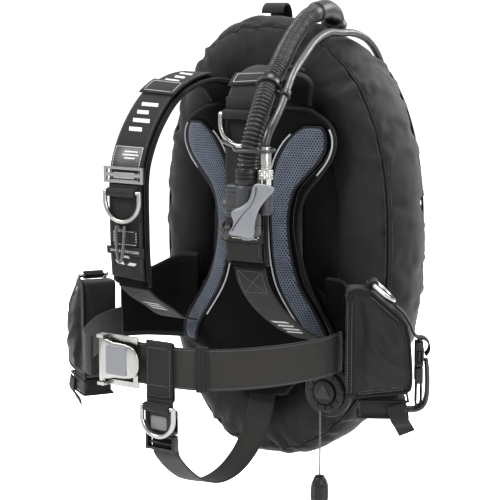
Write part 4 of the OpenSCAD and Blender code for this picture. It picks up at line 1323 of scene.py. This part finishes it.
def face_margin(x, z):
    """How far a point is inside the pocket's face outline."""
    q = np.array(FACE, float)
    best = np.full(len(x), 1e9)
    for a, b in zip(q, np.roll(q, -1, 0)):
        e = (b - a) / np.linalg.norm(b - a)
        best = np.minimum(best, (x - a[0]) * e[1] - (z - a[1]) * e[0])
    return best


def local_ribbon(m, pts, wide):
    """A ribbon given in the pocket's own frame."""
    return Ribbon(apply(m, pts), np.array(m)[:3, :3] @ np.array(wide, float), 8)


def edge_section(w, t, nx=4):
    """A tape's section for a ribbon whose width direction points off the cloth."""
    return flat_section(w, t, nx)[::-1, ::-1]


# Creases on a pocket's face: centre x and z, direction, half width, depth and length
CREASES = ((46, -90, -36, 4.2, 3.2, 20), (38, -108, -44, 3.8, 3.0, 19),
           (52, -122, -22, 4.4, 2.2, 22), (28, -136, -78, 3.4, 1.8, 24),
           (60, -80, -58, 3.6, 1.6, 16), (19, -100, -88, 4.6, -2.6, 44),
           (44, -142, -12, 3.6, 1.6, 26), (66, -104, -70, 3.6, 1.4, 26))

for side in ("left", "right"):
    m = hip_matrix(side)
    back = np.array(m.inverted())
    # The CAD pocket, remeshed: its pouch cavity is kept and the rest drawn in a little
    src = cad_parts["pocket_" + side]
    ob = bpy.data.objects.new("pocket_form", src.data.copy())
    ob.matrix_world = src.matrix_world.copy()
    bpy.context.scene.collection.objects.link(ob)
    bpy.context.view_layer.update()
    world_m = np.array(ob.matrix_world)
    ob = remeshed(ob, "pocket_form_" + side, 2.7)
    p = coords(ob.data) @ world_m[:3, :3].T + world_m[:3, 3]
    loc = (p / MM) @ back[:3, :3].T + back[:3, 3]
    margin = face_margin(loc[:, 0], loc[:, 2])
    inside = ((loc[:, 0] > 10.5) & (loc[:, 0] < 70) & (loc[:, 1] > 3.2) & (loc[:, 1] < 42.2)
              & (loc[:, 2] < -74))
    p[~inside] -= (coords(ob.data, "normal")[~inside] @ world_m[:3, :3].T) * 0.9 * MM
    ob.matrix_world = Matrix.Identity(4)
    move_to(ob.data, p)
    relax(ob, np.where(inside, 0.0, 0.5), 3)
    front = ease(-loc[:, 1], -3.4, -0.5)
    cap = np.where(inside, 0.15, 1.0)
    cap = cap + front * (1 - inside) * (7.0 * ease(loc[:, 0], 15, 34) * ease(margin, 1, 14))
    cap = cap + (1 - inside) * 2.0 * ease(loc[:, 0], 66, 76)
    cloth_puff(ob, cap)
    p = coords(ob.data)
    nor = coords(ob.data, "normal")
    x, z = loc[:, 0], loc[:, 2]
    dent = np.zeros(len(p))
    for ax, az, ang, wide, deep, run in CREASES:
        c, s = math.cos(math.radians(ang)), math.sin(math.radians(ang))
        u = (x - ax) * c + (z - az) * s
        v = -(x - ax) * s + (z - az) * c + 2.0 * np.sin(u / 9)
        dent += deep * np.exp(-(v / wide) ** 2) * np.exp(-(u / run) ** 2)
    dent = 1.45 * dent * front * ease(margin, 1, 8) - 0.5 * fbm(loc, 16) * ~inside
    p += nor * (dent * MM)[:, None]
    move_to(ob.data, p)
    ob = subdivided(ob, "weight_pocket_" + side)
    put(ob, SHELL, replaces=("pocket_" + side,))
    strip = local_ribbon(m, [(5, -0.6, -166), (4.6, -0.9, -130), (4.6, -0.9, -90),
                             (4.8, -0.9, -50), (6.5, -0.9, -39), (12, -0.9, -35.5),
                             (20, -0.9, -36), (28, -0.7, -38)], (0, -1, 0))
    put(sweep("pocket_edge_strip_" + side, strip, edge_section(8, 2.6), step=2),
        BINDING)
    strip = local_ribbon(m, [(30, 0.4, -37), (48, 0.2, -52.5), (69, 0.3, -72), (74, 0.6, -84),
                             (76.6, 0.8, -100), (78.6, 0.8, -124), (79.2, 0.8, -146),
                             (74, 0.6, -158), (44, 0.3, -161.8), (12, 0.3, -165.5)], (0, -1, 0))
    put(sweep("pocket_hem_" + side, strip, edge_section(3.4, 3.0, 2), step=2),
        BINDING)
    lines = []
    for pts in ([(16, -0.6, -161.5), (44, -1.8, -157.8), (72, -1.2, -154.5)],
                [(16, -0.7, -158.6), (44, -2.2, -154.9), (73, -1.6, -151.6)],
                [(30, -0.6, -42), (47, -1.6, -57), (65, -1.0, -73)],
                [(2.2, -2.4, -160), (2.2, -2.4, -46)], [(7.2, -2.4, -160), (7.2, -2.4, -46)]):
        q = smooth(apply(m, pts), 12)
        lines.append((q, np.tile(np.array(m)[:3, :3] @ [0, -1, 0], (len(q), 1))))
    stitches("pocket_thread_" + side, lines, DULL, r=0.5)

    # Webbing from the ring to the fixed clip half, folded over its top with a free end
    rib = local_ribbon(m, [(60, 18, -56), (69, 19, -64), (77, 21, -77), (82, 22.5, -89),
                           (87.5, 22.5, -95), (94, 22.5, -95.5), (99.5, 22.5, -99.5),
                           (101.5, 22.5, -107), (99.5, 22.5, -113), (96.6, 22.5, -116)],
                       (0, 1, 0))
    put(sweep("hip_clip_webbing_" + side, rib, flat_section(20, 2.4, 6), step=1.6),
        STRAP)

    # Weight pouch, riding on its own body
    body = "weight_pouch_" + side
    form = slab("pouch_form", round_box(52, 92, 7, 40, -125), 7, 38, 6, m=m)
    form = remeshed(form, "pouch_form_" + side, 5)
    cloth_puff(form, np.full(len(form.data.vertices), 1.7))
    core = subdivided(form, "weight_pouch_core_" + side)
    form = slab("pouch_end_form", round_box(57, 23.5, 5, 46, -181), 3.4, 41.6, 3, m=m)
    form = remeshed(form, "pouch_end_form_" + side, 2.6)
    cloth_puff(form, np.full(len(form.data.vertices), 1.6))
    end = subdivided(form, "weight_pouch_end_" + side)
    group("weight_pouch_bag_" + side, [core, end], [SHELL] * 2, body,
          ("weight_pouch_" + side,))
    trims = []
    for k, z in enumerate((-170.6, -190.8)):
        ring = [(16, 6, z), (17, 2.6, z), (30, 1.6, z), (60, 1.6, z), (74.5, 2.6, z), (76, 6, z),
                (76, 38, z), (74, 42.4, z), (45, 43, z), (18, 42.4, z), (16, 38, z)]
        trims.append(tube("pouch_trim%d" % k, apply(m, ring), 1.5, 8, 5, closed=True))
    group("weight_pouch_binding_" + side, trims, [BINDING] * 2, body)
    rib = local_ribbon(m, [(60, 0.0, -175), (62, -0.6, -183), (64.5, -0.6, -190), (68, 2.5, -197),
                           (71.5, 8.5, -204), (75.5, 12, -212)], (1, 0, 0.15))
    put(sweep("weight_pouch_tail_" + side, rib, flat_section(21, 2.6, 6), step=1.6),
        STRAP, body)
    rib = local_ribbon(m, [(66, 22.5, -183), (76, 22.5, -184.6), (87, 22.5, -184.2),
                           (95, 22.5, -179), (99, 22.5, -168), (99.8, 22.5, -150),
                           (99, 22.5, -132), (97.8, 22.5, -122)], (0, 1, 0))
    put(sweep("weight_pouch_grip_" + side, rib, flat_section(17, 5.0, 4), step=2), RUBBER, body)
    stitches("weight_pouch_grip_thread_" + side,
             [on_ribbon(rib, np.arange(4, rib.length - 2, 5), x, h) for x in (-6.6, 6.6)
              for h in (-2.6, 2.6)], DULL, body)
    rib = local_ribbon(m, [(85.9, 22.5, -158), (85.9, 22.5, -168), (86.1, 22.5, -178),
                           (89, 22.5, -181.2), (91.9, 22.5, -178), (92.1, 22.5, -168),
                           (92.1, 22.5, -158), (91.6, 22.5, -151.2), (89, 22.5, -148.9),
                           (86.4, 22.5, -151.2), (85.9, 22.5, -157.2)], (0, 1, 0))
    put(sweep("weight_pouch_strap_" + side, rib, flat_section(20, 2.4, 6), step=1.4),
        STRAP, body)
    objs, mats = male_clip("hm" + side, 26, m @ HIP_CLIP)
    group("hip_clip_plug_" + side, [soften(o) for o in objs], mats, body)

# ---------------------------------------------------------------- tank side
TANK_R, BAND_H, BAND_T = 92.0, 50.0, 2.5


def band(name, r, h, t, a0, a1):
    """A strap round the cylinder from one angle to another, in degrees."""
    a = np.radians(np.arange(a0, a1 + 0.1, 2.0))
    sec = flat_section(h, t, 12)
    full = a1 - a0 >= 360
    if full:
        a = a[:-1]
    rr = r + sec[:, 1][None, :] + 0.25 * np.sin(a * 9)[:, None]
    z = sec[:, 0][None, :] + 0.4 * np.sin(a * 5 + 1)[:, None]
    rings = np.stack([rr * np.cos(a)[:, None], rr * np.sin(a)[:, None], z + 0 * rr], -1)
    uv = np.stack(np.broadcast_arrays(sec[:, 0][None, :], (a * r)[:, None]), -1)
    return put(loft(name, rings, uv, closed=full), BELT)


tank_strap = band("tank_band_webbing", TANK_R + BAND_T / 2 + 0.2, BAND_H - 0.8, BAND_T - 0.5,
                  0, 360)
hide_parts("tank_band")
band("tank_band_tail", TANK_R + BAND_T + 1.5, 47, 2.2, 113, 166)
lines = []
for z in (-20.5, 20.5, -17.5, 17.5):
    a = np.radians(np.arange(114, 165, 2))
    nor = np.stack([np.cos(a), np.sin(a), 0 * a], -1)
    lines.append((nor * (TANK_R + BAND_T + 2.9) + [0, 0, z], nor))
stitches("tank_band_thread", lines, WHITE, r=0.5)

# The web across the air cell's middle, from its inner side to the back plate
WEB_Y, STEPS = -129, 12
web_rings = []
for t in np.arange(0, 360, 3.0):
    c = wing_mid(t)
    o = wing_mid(t + 0.5) - wing_mid(t - 0.5)
    o = np.array([o[1], -o[0]]) / np.linalg.norm(o)
    front, rear = wing_depth(*c)
    lean = (WEB_Y - (front + rear) / 2) / ((rear - front) / 2)
    outer = c - o * (WT * math.sqrt(max(1 - lean * lean, 0.05)) - 1.5)
    inner = outer / max(abs(outer[0]) / 42.0, abs(outer[1]) / 72.0)
    f = np.linspace(0, 1, STEPS + 1)[:, None]
    q = outer + (inner - outer) * f
    wave = 0.35 * np.sin(q[:, 0] / 13 + q[:, 1] / 17) + 0.3 * np.sin(q[:, 1] / 9)
    thick = 0.35 + 0.55 * np.sin(f[:, 0] * math.pi)
    ring = [(a[0], WEB_Y + w - k, a[1]) for a, w, k in zip(q, wave, thick)]
    ring += [(a[0], WEB_Y + w + k, a[1]) for a, w, k in zip(q[::-1], wave[::-1], thick[::-1])]
    web_rings.append(ring)
web_rings = np.array(web_rings)
put(loft("air_cell_centre_panel", web_rings, web_rings[:, :, (0, 2)], closed=True), SHELL_UV,
    replaces=("wing_web",))


# ---------------------------------------------------------------- small details
def mark(name, rib, s, x, wide, long, h, slant=0.0, thick=0.5, mat=None):
    """A thin patch on a ribbon, centred at (s, x)."""
    def lean(q, u, y):
        return u + slant * (q - s), y
    o = sweep(name, rib, flat_section(wide, thick, 4), s - long / 2, s + long / 2, h=h, x0=x,
              step=1.5, change=lean)
    o.data.materials.append(mat or MARK)
    return o


# Heights off a strap's middle: the shoulder webbing's face, then print, patches, bars on patches
TOP_H = WEB_H + WEB_T / 2
PRINT_H, PATCH_H, ON_PATCH_H = TOP_H + 0.35, TOP_H + 0.8, TOP_H + 1.7
LOW_PRINT_H = WEB_T / 2 + 0.35
right = straps["right"]
marks = [mark("m", right, s, x, w, 5.5, PRINT_H, slant) for s, x, w, slant in
         ((70, 0, 24, 0.5), (82, 2, 18, 0.5), (93, -1, 24, 0.5), (141, 1, 26, 0.4),
          (153, -3, 18, 0.4), (165, 1, 26, 0.4), (177, -2, 20, 0.4))]
marks += [mark("m", right, s, x, 11, 4.0, PRINT_H, slant) for s, x, slant in
          ((321, -10, 1.0), (321, 8, -1.0), (330, -2, 1.0), (339, -10, 1.0), (339, 8, -1.0))]
put(join("reflective_bars", marks), None)
put(mark("label_patch", right, 219, 0, 44, 41, PATCH_H, 0.0, 1.4, BLACK), None)
bars = [mark("b", right, s, x, w, long, ON_PATCH_H, 0.0, 0.4) for s, x, w, long in
        ((206, 4, 20, 1.8), (210, 4, 24, 1.8), (214, 4, 16, 1.8), (226, -1, 32, 1.2),
         (233, -1, 32, 6.5))]
put(join("label_bars", bars), None)
lines = []
for s0, s1, w in ((200, 238, 41), (300, 316, 34)):
    lines += box_lines(right, s0, s1, w, ON_PATCH_H)
stitches("label_thread", lines, WHITE, r=0.45)
put(mark("reflective_patch", right, 308, 0, 38, 20, PATCH_H, 0.0, 1.4, STRAP), None)
low = lower["left"]
marks = [mark("m", low, s, x, 24, 5.0, LOW_PRINT_H, slant) for s, x, slant in
         ((96, -2, 0.5), (106, 0, -0.5), (116, 2, 0.5), (126, 0, -0.5))]
marks += [mark("m", lower["right"], s, x, 22, 5.0, LOW_PRINT_H, 0.6) for s, x in
          ((54, 0), (66, 0), (78, 0))]
put(join("reflective_bars_low", marks), None)

# Rubber loop that holds the hoses at the chest ring
BAND = [(60, -339, 146), (64, -346, 145.5), (95, -372, 144), (118, -402, 143), (132, -405, 143),
        (152, -401, 143), (160, -392, 143), (156, -381, 144), (142, -373, 145), (124, -366, 146),
        (116, -345, 147), (108, -337.6, 147), (84, -337.4, 147), (64, -337.4, 147)]
put(tube("hose_rubber_loop", BAND, lambda s: 2.0 + 0.15 * math.sin(s / 5), 10, 5, closed=True),
    RUBBER)

# The hose clip's side arm for the low-pressure hose
go = unit(np.array([142, -332, 208.0]) - np.array([147.5, -352, 192.0]))
turn = Vector(go).to_track_quat("Z", "Y").to_matrix().to_4x4()
arm_at = Matrix.Translation((144, -339, 202.5)) @ turn
arm = [lathe("arm_ring", [(5.0, -5), (6.3, -4.8), (6.7, -4), (6.4, 0), (6.7, 4), (6.3, 4.8),
                          (5.0, 5)], arm_at, 28),
       tube("arm_bar", [(132, -341, 206), (135.5, -340.5, 204.8), (139, -339.8, 203.6)],
            lambda s: 3.0, 10, 4)]
group("hose_clip_arm", [soften(o) for o in arm], [BLACK] * 2)

# Small fittings on the lower webbing, and the cord loop at the right chest ring
tab_s = low.length - 24
fit = [mark("tab", low, tab_s, 17, 9, 11, WEB_T / 2 + 1.6, 0.0, 2.4, WHITE),
       mark("bit", low, tab_s + 11, 22, 6, 7, WEB_T / 2 + 2.0, 0.0, 3.4, STEEL)]
put(join("strap_end_fitting", fit), None)
CORD_EYE = [(-91, -350.5, 34), (-90.5, -352, 16), (-88, -352.5, -2), (-84.5, -353, -9),
            (-81, -352.5, -2), (-79, -352, 16), (-78.5, -350.5, 34), (-81, -347.5, 31),
            (-84.5, -346.4, 29), (-88, -347.5, 31)]
put(tube("chest_ring_cord_eye", CORD_EYE, lambda s: 1.7 + 0.12 * math.sin(s * 2.2), 10, 6,
         closed=True), DULL, "chest_ring_right")

# ---------------------------------------------------------------- carried-over CAD nodes
finish = {BLACK: "back_plate tank_saddle cam_body", DARK: "cam_lever",
          STEEL: "saddle_bolts cam_pin strap_slider chest_ring_left chest_ring_right crotch_ring "
                 "hip_ring_left hip_ring_right buckle_frame buckle_pin"}
for mat, nodes in finish.items():
    for node in nodes.split():
        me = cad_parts[node].data
        me.materials.clear()
        me.materials.append(mat)

# ---------------------------------------------------------------- floor, lights, camera
# The floor lies just under the weight pouches when they are fully drawn
FLOOR_Z, FLOOR_HALF = -0.400, 9000
floor = mesh_object("studio_floor", [(x * FLOOR_HALF, y * FLOOR_HALF, FLOOR_Z / MM) for x, y in
                                     ((-1, -1), (1, -1), (1, 1), (-1, 1))], [[0, 1, 2, 3]])
g = Nodes("floor_white")
floor.data.materials.append(g.done((0.93, 0.93, 0.93, 1), 0.8))

scene = bpy.context.scene
world = bpy.data.worlds.new("studio")
scene.world = world
world.use_nodes = True
sky = world.node_tree.nodes["Background"]
sky.inputs["Color"].default_value = (1, 1, 1, 1)
sky.inputs["Strength"].default_value = 1.1
scene.view_settings.view_transform = "Standard"
scene.view_settings.look = "Medium High Contrast"


def lamp(name, at, to, size, watts):
    """An area light at one point that shines at another."""
    d = bpy.data.lights.new(name, "AREA")
    d.shape = "RECTANGLE"
    d.size, d.size_y = size
    d.energy = watts
    o = bpy.data.objects.new(name, d)
    o.location = at
    o.rotation_euler = (Vector(to) - Vector(at)).to_track_quat("-Z", "Y").to_euler()
    scene.collection.objects.link(o)


lamp("key", (-1.5, -2.2, 1.9), (0, -0.2, 0), (1.0, 1.0), 120)
lamp("fill", (2.6, -1.6, 0.9), (0, -0.2, 0), (1.0, 1.6), 75)
lamp("top", (0.3, 0.2, 2.6), (0, -0.15, 0), (1.2, 1.2), 90)
lamp("rim", (1.2, 2.2, 1.4), (0, 0, 0.05), (1.2, 1.2), 60)

# The photo's view: from the wearer's left front, a little above, through a long lens
TARGET = Vector((0.0, -0.190, -0.008))
AZ, EL, DIST = math.radians(33), math.radians(9), 2.0
cam = bpy.data.cameras.new("photo_camera")
cam.lens = 112.32
cam.sensor_width = 36
cam.clip_end = 50
eye = bpy.data.objects.new("photo_camera", cam)
eye.location = TARGET + DIST * Vector((math.sin(AZ) * math.cos(EL), -math.cos(AZ) * math.cos(EL),
                                       math.sin(EL)))
eye.rotation_euler = (TARGET - eye.location).to_track_quat("-Z", "Y").to_euler()
scene.collection.objects.link(eye)
scene.camera = eye
